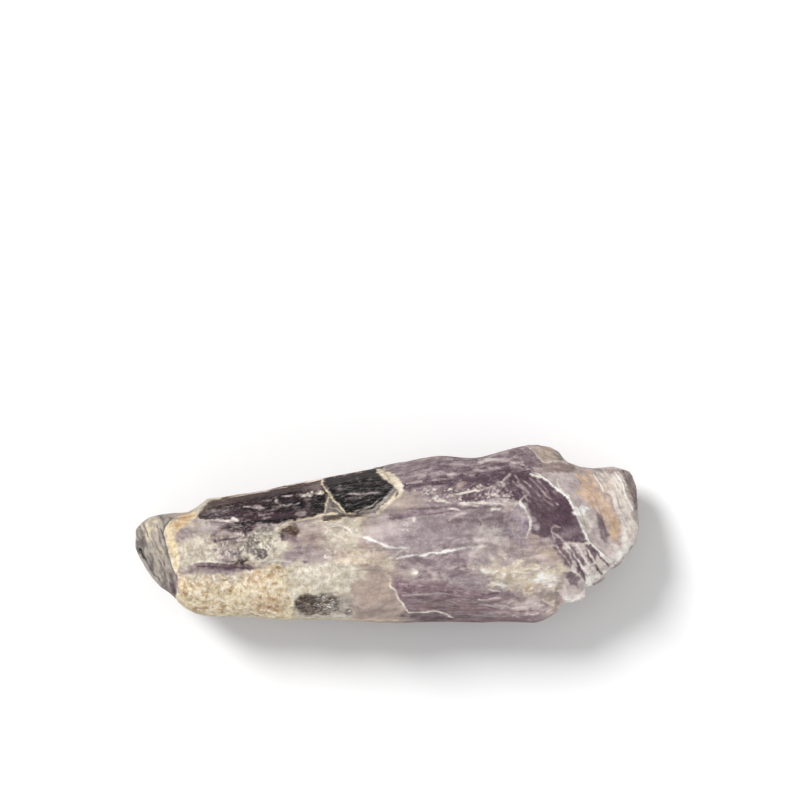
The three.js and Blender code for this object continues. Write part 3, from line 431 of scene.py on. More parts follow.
        (30.3, 13.4), (27.8, 13.4), (26.5, 14.8)], {"crust": 0.2, "way": -20}),
    ("lobe dark east", "darkSmoke", 0.4, 0.5, [(30.9, 14.4), (1.2, 0.7)], {"turn": -45}),
    ("lobe top dark", "darkSmoke", 0.2, 0.5, [(27.1, 16.3), (1.4, 0.3)]),
    ("lobe strip", "brownGrey", 0.25, 0.9, [(27.6, 13.3), (30.8, 13.4), (33.9, 12.6), (33.8, 11.4),
        (30.6, 11.6), (28, 12.4)]),
    ("low cloud", "yellowCream", 1, 0.75, [(15.3, -4.7), (18.3, -4.4), (20.9, -5), (20.6, -4.8),
        (23.1, -3.9), (25.2, -4.4), (27.8, -4.6), (30.3, -3.9), (32.2, -5.4), (31.1, -7), (30.5, -9.5),
        (27.4, -9.6), (25.1, -9.7), (21.6, -9.5), (18.8, -8.6), (18.3, -8.3), (16.5, -6.6)],
        {"crust": 0.2, "way": 4}),
    ("low cloud pale", "beige", 0.9, 0.3, [(28.5, -3.2), (3, 1.4)]),
    ("low cloud west shade", "beige", 0.9, 0.3, [(20, -6.4), (2, 1.3)]),
    ("low cloud bright one", "yellowCream", 0.5, 0.8, [(23.7, -5.5), (1.7, 0.9)]),
    ("low cloud bright two", "white", 0.5, 0.75, [(28.7, -7.5), (1.9, 1.2)]),
    ("low cloud bright three", "tan", 0.3, 0.7, [(25.1, -8.8), (1, 0.5)]),
    ("low cloud bright four", "ivory", 0.2, 0.8, [(20.1, -8.3), (1.2, 0.4)], {"turn": -18}),
    ("low cloud bright five", "ivory", 0.35, 0.7, [(17, -5.5), (1.4, 0.5)]),
    ("low cloud bright six", "white", 0.2, 0.85, [(31.3, -9.9), (0.8, 0.5)], {"turn": -30}),
    ("low cloud grey", "mauve", 0.4, 0.6, [(20.6, -10.3), (2.5, 0.6)]),
    ("fan ground", "pinkWhite", 0.4, 0.85, [(31.7, -0.9), (35.2, -0.9), (37.1, -2.3), (40.9, -4.8),
        (38.3, -7.1), (37, -8.7), (35.9, -9), (35.4, -10.6), (33.8, -11.8), (31.6, -11.8), (30.6, -9.7),
        (31.4, -7.3), (32.2, -5.4), (30.3, -2.5)], {"way": -55}),
    ("fan dark one", "plum", 0.3, 0.78, [(29.3, -0.1), (30.7, -0.3), (31.9, -2.3), (33, -4.5), (32.5, -5.5),
        (31.5, -4.7), (30.4, -2.7), (29.4, -1.4)], {"clump": 0.6, "clear": 0.6, "lift": -0.1}),
    ("fan dark two", "plum", 0.25, 0.75, [(32.1, -1.4), (33, -1.5), (34.5, -3.3), (35.6, -5.1),
        (34.8, -5.6), (33.7, -4.6), (32.8, -3.1)], {"clump": 0.6, "clear": 0.6, "lift": -0.12}),
    ("fan dark three", "plum", 0.25, 0.75, [(34.4, -1.2), (36, -1.3), (37.1, -2.9), (37, -4.2),
        (36.4, -4.8), (35.6, -3.3)], {"clump": 0.6, "clear": 0.6, "lift": -0.12}),
    ("fan dark low", "plum", 0.2, 0.75, [(33.5, -5.2), (34.3, -5.4), (35.9, -7.9), (35.5, -8.6),
        (34.4, -7)], {"clump": 0.6, "clear": 0.5, "lift": -0.1}),
    ("fan outer light", "white", 0.4, 0.85, [(35.4, -9), (36.3, -6.9), (38.1, -6.6), (39.9, -5), (41.7, -3),
        (43, -1.5), (44.2, -0.5), (43.4, -2.9), (42.1, -4.2), (40.1, -5.5), (38.3, -7.5), (36.8, -8.8)],
        {"crust": 0.2}),
    ("east foot light", "white", 0.5, 0.8, [(31.6, -10.9), (34.3, -10.1), (36, -9.2), (35.8, -10.6),
        (34.7, -11.5), (32.1, -12.2)], {"crust": 0.2}),
    ("fan dark four", "mauve", 0.3, 0.85, [(31, -6.3), (32.5, -6.1), (34.3, -7.4), (34, -8.9),
        (32.4, -8.3)]),
    ("fan low shade", "mauve", 0.6, 0.18, [(34.5, -8.5), (1.5, 1.3)]),
    ("fan north shade", "mauve", 0.5, 0.35, [(33.9, -3.1), (1.2, 1.6)]),
    ("fan white edge", "white", 0.3, 0.8, [(35.9, -7.9), (1.1, 0.7)], {"turn": -40}),
    ("fan pale edge", "pinkWhite", 0.4, 0.7, [(33.9, -10.2), (1.6, 0.9)]),
    ("fan pink streaks", "pinkTan", 0.4, 0.6, [(28.9, -11.5), (1.7, 0.7)], {"turn": -30}),
]
shardLooks["lines"] = [
    ("groove shade", "darkSmoke", 0.2, 0.8, [(-38.1, 3.9), (-38.9, 3), (-39.7, 1.8), (-39.9, 0.4),
        (-39.6, -1.5), (-39.2, -3.3), (-38.3, -5.1), (-37.6, -6.7), (-37.7, -8.6), (-38.3, -11.3)],
        {"lift": -0.2}),
    ("rim outer light", "ivory", 0.2, 0.7, [(-39.5, 1.7), (-39.5, 0.4), (-39.2, -1.4), (-38.7, -3.2),
        (-38, -5.2), (-37.2, -7), (-37.4, -9.2), (-37.9, -11.3), (-37, -12.7), (-35.6, -13.5),
        (-33.9, -13.9)], {"lift": 0.08}),
    ("cap slit", "black", 0.42, 1, [(-44.7, -2.5), (-44.2, -3.3), (-43.4, -4.2)], {"lift": -0.3}),
    ("cap slit tail", "darkSmoke", 0.16, 0.8, [(-43.4, -4.2), (-42.7, -5.4), (-41.9, -6.8), (-40.8, -8.2)],
        {"lift": -0.15}),
    ("cap dark fold", "plum", 0.35, 0.7, [(-38.9, -8.2), (-38.2, -9.4), (-38, -10.2)], {"lift": -0.1}),
    ("cap dark fold two", "darkSmoke", 0.25, 0.7, [(-40.1, -8.3), (-39.5, -9.5), (-39.2, -10.3)]),
    ("groove foot", "mauve", 0.35, 0.8, [(-38.1, -5.4), (-37.4, -7.2), (-37.5, -9), (-38, -11)],
        {"lift": -0.1}),
    ("band light one", "paleLilac", 0.16, 0.8, [(-31.5, 3.2), (-28.7, 3), (-26.4, 3.3)]),
    ("band white row", "ivory", 0.16, 0.6, [(-33.4, 3.1), (-31.4, 3.2), (-29.9, 3.1), (-28.1, 3)],
        {"fleck": 0.5, "break": 1.8}),
    ("band white spot", "ivory", 0.22, 0.8, [(-27.4, 3.5), (-27.1, 3.6), (-26.7, 3.4)]),
    ("band top haze", "pinkWhite", 0.3, 0.75, [(-29, 7.4), (-26.5, 7.7), (-24.3, 8.1), (-22, 8.3),
        (-19.6, 8.8), (-17.5, 9.3), (-15.3, 9.8), (-13.5, 10), (-11.7, 10.4)], {"fleck": 0.3}),
    ("band dark thread", "black", 0.18, 0.8, [(-26.5, 2.5), (-23.5, 2.9), (-19.6, 3.3), (-16.6, 3.4)],
        {"lift": -0.05}),
    ("band wedge", "ivory", 0.22, 0.7, [(-33.4, 3.2), (-31.8, 3.2), (-31.5, 2.3)]),
    ("band light two", "paleLilac", 0.14, 0.6, [(-25.2, 5.5), (-23.3, 5.6), (-21.6, 5.4)]),
    ("band light three", "smoke", 0.14, 0.25, [(-19.7, 6.2), (-18.6, 6), (-17.4, 5.5), (-18.1, 5)]),
    ("band light four", "smoke", 0.2, 0.6, [(-15.2, 7.8), (-13.6, 7.6), (-12.2, 8)]),
    ("band wiggle", "paleLilac", 0.11, 0.6, [(-18.1, 5.9), (-17.4, 5.8), (-16.9, 6.1), (-16.2, 5.9),
        (-15.5, 6.1)], {"break": 1.2}),
    ("white diagonal", "cream", 0.2, 1, [(-11.7, 9.9), (-10.3, 8.2), (-8.8, 6.3), (-7.2, 4.4)],
        {"lift": 0.12}),
    ("triangle left side", "cream", 0.14, 0.7, [(-10.1, 8), (-10.6, 6.3), (-11, 4.5), (-12.1, 3.3)]),
    ("under line one", "cream", 0.17, 0.9, [(-19.6, 1.6), (-17.6, 2.6), (-15.3, 3.2), (-13, 3.7),
        (-11.1, 4.2), (-8.8, 4.4)], {"lift": 0.06}),
    ("under line two", "cream", 0.15, 0.8, [(-14.1, 2.5), (-11.1, 3.2), (-8.4, 3.5), (-6.5, 4.5),
        (-4.9, 3.5), (-3.1, 3.9)]),
    ("triangle inner line", "cream", 0.13, 0.35, [(-10, 5.6), (-8.9, 5.2), (-8, 4.6)]),
    ("under dark line", "brown", 0.3, 0.8, [(-11.1, 3.3), (-8.8, 3.8), (-7.2, 4.2), (-5.1, 4.1)]),
    ("end grey one", "darkSmoke", 0.14, 0.6, [(-10.4, 8.9), (-9, 9.1), (-7.4, 9)]),
    ("end grey two", "paleLilac", 0.13, 0.6, [(-7.9, 7.6), (-6.1, 7.9), (-3.5, 7.9), (-0.9, 8.2)]),
    ("end grey three", "darkSmoke", 0.14, 0.7, [(-7.2, 6.9), (-5.4, 7.2), (-4.1, 7.5)]),
    ("end grey four", "darkSmoke", 0.12, 0.6, [(-5.5, 6.2), (-4.2, 6.6), (-3.1, 6.8)]),
    ("end grey five", "smoke", 0.15, 0.7, [(-5.6, 4.9), (-4, 5.1), (-2.5, 5.7), (-0.8, 7.4)]),
    ("end grey six", "darkSmoke", 0.12, 0.5, [(-4.8, 9.8), (-2.9, 9.6), (-0.6, 9.6)]),
    ("end grey seven", "darkSmoke", 0.12, 0.5, [(-10.3, 8), (-8.9, 7.9), (-7.9, 8.1)]),
    ("bevel light", "smoke", 0.14, 0.6, [(0.9, 8.4), (-0.4, 6.8), (-1.9, 5.1), (-3.6, 4.5)]),
    ("crust arc", "ivory", 0.16, 0.6, [(-21.6, -4.5), (-20.4, -4), (-18.5, -3.9), (-17.2, -4)]),
    ("lens upper light", "ivory", 0.15, 0.7, [(-34.6, -4.6), (-32.9, -4.2), (-30.1, -4.1), (-28.2, -4)]),
    ("violet streak", "bandPlum", 0.26, 0.9, [(-28.3, -3.9), (-26.5, -4), (-24.6, -3.8)]),
    ("lens line one", "plum", 0.16, 0.8, [(-33.9, -4.7), (-29.4, -4.5), (-24.5, -4.5)]),
    ("lens line two", "plum", 0.3, 0.8, [(-33.4, -5.1), (-29.4, -5.1), (-26.5, -5.1), (-24.5, -5.3)]),
    ("dark dash", "plum", 0.14, 0.7, [(-30.1, -0.5), (-28.2, -0.2), (-26.4, 0)]),
    ("dark thin streak", "mauve", 0.22, 0.9, [(0.6, 4.2), (3.1, 4.2), (5.4, 4.5), (8.2, 5.4), (10, 5.5),
        (12.8, 4.7)]),
    ("scratch one", "white", 0.24, 0.7, [(-4.2, 0.3), (-2.1, -0.5), (-0.1, -1.2), (1.7, -1.5), (3.9, -1.6)],
        {"lift": 0.05}),
    ("scratch two", "ivory", 0.16, 0.6, [(3.9, -1.6), (2, -2.5), (0.1, -3.5)]),
    ("scratch three", "white", 0.2, 0.85, [(1.8, -3.5), (4.3, -3.2), (6.6, -2.9)], {"lift": 0.05}),
    ("scratch four", "white", 0.2, 1, [(6.1, -2.9), (7.7, -2.4), (10.9, -2), (13.2, -1.6), (15.4, -1.4)],
        {"lift": 0.06}),
    ("scratch five", "ivory", 0.15, 0.6, [(15.8, -1.3), (16.9, -1.5), (18.1, -1.7)]),
    ("pale arc north", "paleLilac", 0.14, 0.7, [(3.5, 9.7), (4.5, 10), (6.1, 10.1)]),
    ("north streak main", "plum", 0.55, 0.7, [(3.1, 9), (5.9, 9.3), (9.1, 9.7), (12.4, 10.3), (16.1, 11),
        (21, 12), (21.6, 11.5), (25.1, 11.3)]),
    ("north streak upper", "plum", 0.28, 0.6, [(6.8, 12.4), (9.2, 13.1), (11, 13.4), (13.9, 13.9),
        (16.2, 13.7)]),
    ("north streak mid", "plum", 0.3, 0.5, [(14.7, 12.2), (17.7, 13), (21, 12.8), (21.6, 12.6),
        (24.4, 12.2)]),
    ("north pale line", "paleLilac", 0.14, 0.6, [(16.6, 13.4), (18.9, 13.7), (21, 13.5), (21.2, 13.5),
        (24.2, 12.8)]),
    ("north pale line two", "paleLilac", 0.14, 0.5, [(17.5, 13.8), (19.6, 13.9), (21.6, 13.6)]),
    ("middle white one", "ivory", 0.18, 0.8, [(8.6, 6.8), (9.6, 6.6), (10.7, 6.3)], {"fleck": 0.5}),
    ("middle white two", "ivory", 0.16, 0.8, [(12.4, 7.9), (13.7, 8.1), (16.2, 8.5)], {"fleck": 0.35}),
    ("middle white three", "ivory", 0.13, 0.5, [(12.7, 6.1), (14.2, 6), (16.1, 5.8)], {"fleck": 0.5}),
    ("middle white four", "ivory", 0.18, 0.7, [(10.9, 5.1), (12.8, 5)], {"fleck": 0.4}),
    ("middle white five", "ivory", 0.14, 0.6, [(11, 3.5), (12.1, 4), (13.3, 4.5)]),
    ("middle white six", "ivory", 0.26, 0.7, [(16.6, 6.3), (17.5, 6.1)], {"fleck": 0.5}),
    ("middle white seven", "paleLilac", 0.12, 0.5, [(13.3, 10.3), (12.9, 9), (14.4, 8.1)]),
    ("middle dark line", "plum", 0.22, 0.45, [(0.6, 3.7), (3.4, 3.9), (6.2, 4.2), (9.3, 4.5), (11.9, 4.8)],
        {"fleck": 0.2}),
    ("middle dark line two", "plum", 0.16, 0.4, [(3.6, 5.1), (7, 5.3), (11, 5.5), (15.4, 5.5), (20.5, 5.4)],
        {"fleck": 0.25}),
    ("leaf upper line", "ivory", 0.12, 0.6, [(12.6, 7.9), (14.8, 8.3), (16.7, 8.6), (19.2, 9.3)]),
    ("leaf lower line", "ivory", 0.12, 0.65, [(12.7, 6.3), (15.7, 6.3), (18.7, 6), (21.1, 5.9),
        (23.6, 6.3)], {"fleck": 0.45}),
    ("pale thick streak", "paleLilac", 0.24, 0.8, [(10.8, 3.7), (12.3, 4.1), (14.2, 4.7)]),
    ("hatch one", "paleLilac", 0.13, 0.6, [(22.3, 10.2), (23.2, 9.6), (24.2, 8.7)]),
    ("hatch two", "paleLilac", 0.13, 0.6, [(23.1, 10.2), (24.4, 8.9), (25.2, 8.2)]),
    ("hatch three", "paleLilac", 0.13, 0.7, [(24.2, 10.3), (25.8, 9), (27.2, 7.7)]),
    ("hatch four", "paleLilac", 0.13, 0.6, [(25.4, 10.8), (27, 9.2), (28.3, 7.8)]),
    ("hatch five", "paleLilac", 0.13, 0.6, [(26.7, 10.4), (27.8, 9.3), (28.7, 8.3)]),
    ("hatch six", "paleLilac", 0.14, 0.7, [(20.9, 10.8), (21.9, 11.4), (20.7, 10.3)]),
    ("window top fleck", "ivory", 0.26, 0.9, [(25.6, 11.4), (26.8, 11.1), (27.6, 10.8)], {"lift": 0.08}),
    ("east ridge", "white", 0.17, 0.95, [(25.4, 11.5), (27.2, 11), (28.6, 10.2), (30, 9), (31.4, 7.7),
        (32.7, 6), (33.7, 3.9), (34.7, 1.6), (35.6, -0.7), (37.2, -2.2), (39.1, -4.1), (41, -4.9)],
        {"lift": 0.2}),
    ("east ridge inner", "ivory", 0.16, 0.6, [(30.5, 10.3), (30.3, 9.8), (31.3, 8.1), (32.2, 7.4)]),
    ("east ridge second", "paleLilac", 0.16, 0.5, [(33.7, 7.3), (34.2, 6.2), (33.6, 5.6)]),
    # painted highlight: a crescent of light along the rim of the shallow dimple in the frosty oval, brightest
    # in its white core
    ("crescent", "ivory", 0.17, 0.6, [(25, 7.9), (24.1, 7.4), (23.4, 6.6), (23.4, 5.9), (24.1, 5.3),
        (24.8, 4.5), (25.4, 3.3), (25.5, 1.8), (24.7, 0.2)], {"lift": 0.06, "fleck": 0.4, "break": 1.4}),
    ("crescent core", "white", 0.3, 0.7, [(23.5, 6.7), (23.7, 5.9), (24.3, 5.4)]),
    ("frost inner loop", "frost", 0.15, 0.6, [(24.3, 3.3), (23.9, 2.1), (24.3, 1.1), (25.1, 1.3)]),
    ("small hook", "paleLilac", 0.16, 0.7, [(30.7, 1.8), (29.7, 2.1), (29.1, 1.7), (29.2, 1.1), (30.3, 0.4),
        (31.3, -0.5), (32.2, -1.3)]),
    ("small hook two", "paleLilac", 0.2, 0.6, [(29.2, 1.1), (29.6, 0), (29.5, -0.9)]),
    ("window foot", "ivory", 0.16, 0.7, [(31.5, -1), (32.3, -1.2), (33.7, -1.1), (35.1, -0.8),
        (35.9, -0.9)]),
    ("low arc", "paleLilac", 0.22, 0.7, [(26.2, -2.1), (27.3, -1.6), (28.7, -1.3), (30, -1.4),
        (30.9, -2.6)]),
    ("low arc two", "paleLilac", 0.14, 0.5, [(25, -2.6), (25.9, -2.5), (26.6, -2)]),
    ("cream vein", "ivory", 0.6, 0.35, [(16.4, 3.6), (17.5, 2.2), (18.4, 0.8), (19.5, -0.8), (21, -3.4)]),
    ("cream vein two", "cream", 0.2, 0.6, [(19.5, -2.7), (20.3, -3), (21, -3.6)]),
    ("east pale one", "ivory", 0.14, 0.75, [(37.2, 11.2), (38, 9.7), (38.8, 8.1)]),
    ("east pale two", "ivory", 0.12, 0.6, [(37.7, 11.4), (38.4, 10.1), (39.3, 8.7)]),
    ("east pale three", "paleLilac", 0.14, 0.4, [(35.7, 11.6), (36.2, 10.7), (36.8, 9.3)]),
    ("east white one", "white", 0.17, 0.85, [(41.1, 11.4), (42.4, 9), (43.3, 6.8), (44.3, 4.7)],
        {"lift": 0.06}),
    ("east white two", "ivory", 0.13, 0.6, [(40.6, 11), (41.7, 8.7), (42.9, 5.9), (43.5, 3.6)]),
    ("east white three", "ivory", 0.1, 0.6, [(41.7, 11.4), (43, 9.1), (43.9, 7)]),
    ("east grey one", "smoke", 0.14, 0.5, [(39.1, 11.1), (40.7, 8.3), (42.1, 5), (42.5, 2.2)]),
    ("east grey two", "darkSmoke", 0.16, 0.6, [(42.4, 11.7), (43.4, 9.9), (44.3, 7.3), (44.8, 4.9)]),
    ("east grey three", "smoke", 0.16, 0.5, [(39.6, 6.9), (40.8, 5), (41.3, 3.6)]),
    ("lobe line", "ivory", 0.13, 0.45, [(25.1, 16.2), (25.9, 15.6), (26.8, 14.6), (27.8, 13.4)],
        {"lift": 0.08}),
    ("lobe foot line", "ivory", 0.12, 0.25, [(27.8, 13.4), (29.3, 13.5), (31, 13.6), (32.3, 13)]),
    ("lobe foot line two", "pinkTan", 0.16, 0.4, [(28, 12.4), (30.2, 12.6), (32.1, 12.1)]),
    ("fan rib one", "ivory", 0.13, 0.45, [(30.3, -1.6), (31.3, -3.2), (32.7, -5.1), (34.6, -7.6),
        (35.9, -8.9)], {"lift": 0.22}),
    ("fan rib two", "white", 0.13, 0.7, [(31.7, -1), (33.1, -2.7), (34.7, -5.2), (36.2, -7.2), (37, -8.7)],
        {"lift": 0.25}),
    ("fan rib three", "white", 0.13, 0.65, [(33.3, -1.2), (34.5, -2.7), (35.8, -4.6), (37.3, -6.6),
        (38.2, -7.2)], {"lift": 0.25}),
    ("fan rib four", "ivory", 0.13, 0.65, [(34.6, -1.2), (35.7, -2.3), (37.2, -4.6), (38.4, -6.5)],
        {"lift": 0.25}),
    ("fan rib five", "white", 0.14, 0.85, [(37.9, -2.5), (39.1, -3.5), (40.7, -4.8)], {"lift": 0.15}),
    ("fan rib six", "white", 0.16, 0.7, [(38.5, -4.1), (39.3, -4.8), (40.2, -5.2)], {"lift": 0.1}),
    ("fan black slit", "plum", 0.2, 0.8, [(37.1, -4.8), (37.7, -5.8), (38.4, -6.8)], {"lift": -0.2}),
    ("fan dark line one", "plum", 0.16, 0.8, [(35.8, -1.2), (37.4, -2.8), (39.5, -5)], {"lift": -0.12}),
    ("fan dark line two", "plum", 0.24, 0.75, [(34, -4.7), (34.8, -6.4), (35.6, -8)], {"lift": -0.15}),
    ("fan dark line three", "mauve", 0.2, 0.6, [(32.2, -2.1), (33.4, -3.7), (34.1, -5.2)], {"lift": -0.1}),
    ("skirt crack", "ivory", 0.18, 0.75, [(0.4, -8.4), (1.5, -9.2), (2, -11), (3.1, -12.4), (3.9, -13.3)],
        {"lift": 0.05}),
    ("skirt crack up", "cream", 0.24, 0.5, [(-0.4, -6.1), (0.6, -7), (0.5, -8.4)]),
    ("skirt curve", "ivory", 0.13, 0.7, [(3.9, -13.3), (5.9, -13.2), (8.2, -13.1), (10.6, -13.7),
        (12.2, -14.5), (14.1, -15.3)], {"lift": 0.08}),
    ("skirt pale one", "paleLilac", 0.13, 0.6, [(2.9, -10.1), (5.9, -9.9), (9.1, -9.7), (12.3, -9.9),
        (15.3, -10.2)]),
    ("skirt pale two", "paleLilac", 0.14, 0.7, [(16.3, -11.7), (18.9, -12.3), (21, -12.4), (20.2, -12.2),
        (21.9, -12.6)]),
    ("skirt pale three", "ivory", 0.15, 0.6, [(16.5, -10.8), (18.4, -10.9), (20.2, -10.9)]),
    ("skirt pale four", "paleLilac", 0.14, 0.6, [(17.4, -11.9), (18.8, -12.1), (20.9, -12.4)]),
    ("low white one", "white", 0.22, 0.7, [(18.7, -7.8), (19.9, -8.3), (21.2, -8.7)]),
    ("low white two", "ivory", 0.16, 0.6, [(18.1, -9), (19, -9.4), (19.9, -9.6)]),
    ("pink streak one", "ivory", 0.17, 0.7, [(27.7, -11), (28.7, -11.6), (29.7, -12.1)]),
    ("pink streak two", "ivory", 0.13, 0.6, [(28.6, -10.8), (29.3, -11.3), (30, -11.9)]),
    ("pink streak three", "plum", 0.16, 0.5, [(27.3, -11.4), (28, -11.9), (28.7, -12.2)]),
    ("south edge pale one", "paleLilac", 0.16, 0.5, [(-25.6, -14.3), (-22.1, -14.7), (-16.2, -14.8)]),
    ("south edge pale two", "cream", 0.16, 0.6, [(-16.2, -14.8), (-6.7, -14.9), (-0.3, -14.9), (2, -15.2)]),
    ("cloud line", "ivory", 0.22, 0.5, [(-8.8, 2.4), (-7.4, 2.2), (-6.1, 0.8), (-4.2, 0.3)]),
]
shardLooks["strokes"] = [
    ("crystal band dashes", "paleLilac", 0.12, 0.6, 18, (0.5, 2.4), 5, 8, [(-26.4, 4.4), (-21.5, 5.8),
        (-21.9, 7.2), (-15.5, 7.7), (-15.1, 4), (-25, 3), (-26.4, 3.3)]),
    ("band crumbs", "lilac", 0.22, 0.45, 9, (0.3, 1.2), 4, 20, [(-24.3, 5.7), (-22.2, 5.7), (-22.1, 5),
        (-24.1, 5)], {"fleck": 0.65}),
    ("band crumbs two", "ivory", 0.13, 0.75, 24, (0.15, 0.4), 8, 60, [(-15.5, 7.3), (-13.9, 8),
        (-11.4, 8.5), (-11.2, 7.9), (-13.5, 7.4), (-15.3, 7)], {"fleck": 0.4}),
    ("band crumbs three", "smoke", 0.16, 0.7, 7, (0.2, 0.5), 0, 70, [(-19.8, 6.6), (-18.2, 6.8), (-18, 5.6),
        (-19.4, 5.2)], {"fleck": 0.5}),
    ("band crumbs four", "lilac", 0.18, 0.6, 9, (0.3, 0.7), 0, 70, [(-22.7, 4.8), (-20.6, 4.9),
        (-20.6, 3.6), (-22.4, 3.6)], {"fleck": 0.7}),
    ("crystal band darks", "deepPlum", 0.14, 0.5, 30, (1.5, 5), 5, 5, [(-30.5, 5.5), (-21.9, 7.4),
        (-18.5, 8.7), (-15.3, 4.5), (-20.4, 3), (-25, 2.3), (-30.1, 3.5)]),
    ("crystal end dashes", "darkSmoke", 0.13, 0.55, 22, (0.3, 1.6), 4, 28, [(-10.4, 9.3), (-2, 10.7),
        (0.4, 8.8), (-2.4, 5.8), (-7, 5.2), (-8.9, 7.9)]),
    ("cap striations light", "warmBeige", 0.14, 0.25, 26, (1.5, 6), -66, 9, [(-44.3, 2.5), (-39.2, 3.2),
        (-39.8, 0.4), (-38.7, -3.7), (-37.7, -8.5), (-39.1, -10), (-42.4, -5.3), (-44.9, -1.4)],
        {"bend": -12}),
    ("cap striations dark", "darkSmoke", 0.14, 0.65, 34, (2, 6), -66, 9, [(-44.3, 2.5), (-39.2, 3.2),
        (-39.8, 0.4), (-38.7, -3.7), (-37.8, -9.4), (-39.2, -10.6), (-42.4, -5.6), (-45.2, -1.4)],
        {"bend": -12, "lift": -0.06}),
    ("north face streaks dark", "plum", 0.12, 0.4, 46, (1.5, 6), 9, 5, areas["northFace"]),
    ("north face streaks pale", "paleLilac", 0.12, 0.6, 40, (0.5, 2.5), 9, 14, areas["northFace"]),
    ("window hatch", "paleLilac", 0.12, 0.6, 20, (0.6, 2.4), -48, 10, [(18.8, 10.2), (22, 11.1),
        (25.1, 10.8), (29.4, 9), (31.3, 7.2), (29.4, 5.3), (26.1, 5.3), (23.1, 7.2), (19.2, 6.8)]),
    ("window hatch west", "paleLilac", 0.12, 0.45, 18, (0.4, 1.6), 48, 22, [(12.8, 10), (17, 10.6),
        (21, 10.9), (20.8, 6.8), (17.3, 5.9), (18.3, 5.4), (13.7, 6.3)]),
    ("window flecks", "ivory", 0.15, 0.8, 26, (0.3, 1), 20, 35, [(17.3, 7.2), (20.1, 8.1), (23.4, 7.2),
        (22.9, 5.4), (18.7, 4.9)]),
    ("middle flecks", "ivory", 0.13, 0.7, 26, (0.2, 0.7), 15, 60, [(6.1, 8.4), (12.3, 9.3), (13.7, 7.5),
        (12.3, 6.3), (8.2, 6.5), (5.9, 7.2)]),
    ("middle fine streaks", "paleLilac", 0.11, 0.5, 90, (0.4, 2.2), 6, 24, [(5.9, 4.5), (19.2, 4.5),
        (20.2, -4.3), (12.3, -6.6), (3.1, -6.6), (2, -0.1)]),
    ("skirt streaks pale", "paleLilac", 0.11, 0.5, 40, (0.8, 4), -3, 7, areas["lowerSkirt"]),
    ("skirt streaks dark", "deepPlum", 0.11, 0.35, 22, (1, 5), -3, 6, areas["lowerSkirt"]),
    ("fan ribs fine", "white", 0.1, 0.4, 8, (0.8, 2.6), -55, 10, [(32.2, -1.6), (35.9, -1.4), (39.8, -4.6),
        (37.4, -8), (34.3, -9.3), (32.3, -6.3)], {"lift": 0.06}),
    ("east band lines", "ivory", 0.12, 0.6, 50, (1, 4.5), -62, 7, [(37.9, 10.6), (41.7, 11.2), (44.1, 5.4),
        (44.7, 0.8), (42.4, -0.5), (41.8, 3.6)], {"lift": 0.04}),
    ("east band greys", "smoke", 0.09, 0.4, 26, (1, 4), -62, 7, [(37.9, 10.6), (42.5, 11.5), (44.7, 6.8),
        (44.9, 1.7), (42.4, -0.5), (41.8, 3.6)]),
    ("crust grains pale", "ivory", 0.15, 0.8, 220, (0.15, 0.5), 0, 90, areas["westFoot"], {"lift": 0.04}),
    ("crust grains brown", "tan", 0.15, 0.65, 130, (0.15, 0.6), 0, 90, areas["westFoot"], {"lift": -0.06}),
    ("speckle grains pale", "ivory", 0.15, 0.8, 110, (0.15, 0.5), 0, 90, [(-31.5, -0.2), (-21.5, 2.1),
        (-20.4, 1.7), (-18.1, -1.5), (-20.4, -3.9), (-25, -3.9), (-30.1, -3.5)]),
    ("speckle grains dark", "darkSmoke", 0.15, 0.7, 120, (0.15, 0.6), 0, 90, [(-30.6, -0.2), (-21.5, 1.7),
        (-20.4, 1.2), (-19, -1.5), (-21.3, -3.7), (-25, -3.7), (-27.8, -3)], {"lift": -0.05}),
    ("cloud grains", "white", 0.14, 0.45, 110, (0.15, 0.7), 0, 90, [(-11.1, 3.3), (-4.7, 3.5), (-2.8, -0.1),
        (-2.8, -3.8), (-12.1, -8.5), (-16.7, -6), (-11.1, -3.9)]),
    ("cloud darks", "smoke", 0.13, 0.45, 80, (0.15, 0.7), 0, 90, [(-15.8, -4.8), (-6.5, -4.3),
        (-6.6, -13.4), (-9.9, -13.5), (-12.1, -9.5), (-15.8, -9.5)]),
    ("low cloud grains", "white", 0.13, 0.5, 70, (0.2, 1), 10, 50, [(15.5, -5), (20.9, -4.8), (24.3, -3.9),
        (30.3, -4.9), (30.5, -8.8), (24.4, -9.3), (18.3, -8.7)]),
    ("south window grains", "smoke", 0.12, 0.6, 60, (0.15, 0.5), 0, 90, [(-15.9, -13), (-13.5, -10.4),
        (-11.2, -10.9), (-6.6, -11.9), (-6.6, -13.9), (-15.6, -14.1)]),
    ("crystal end grit", "smoke", 0.12, 0.36, 40, (0.15, 0.5), 4, 60, [(-9.7, 9.5), (-6.6, 10.5),
        (-2.3, 11.2), (-0.1, 9.3), (-2.6, 6.8), (-6.1, 6.3), (-8.2, 7.5)], {"fleck": 0.3}),
    ("leaf crumbs", "ivory", 0.1, 0.55, 80, (0.12, 0.45), 10, 60, [(8.6, 7.2), (12.6, 8.9), (17, 9.7),
        (21.8, 10.1), (23.6, 8.4), (22.6, 5.9), (17, 6), (11, 6)], {"fleck": 0.3}),
    ("leaf wisps", "paleLilac", 0.1, 0.5, 22, (0.6, 1.6), 58, 16, [(12.4, 8.4), (16.5, 9.2), (21.6, 10.3),
        (23.4, 9.4), (22.4, 7.6), (17, 7.4)], {"fleck": 0.2}),
]
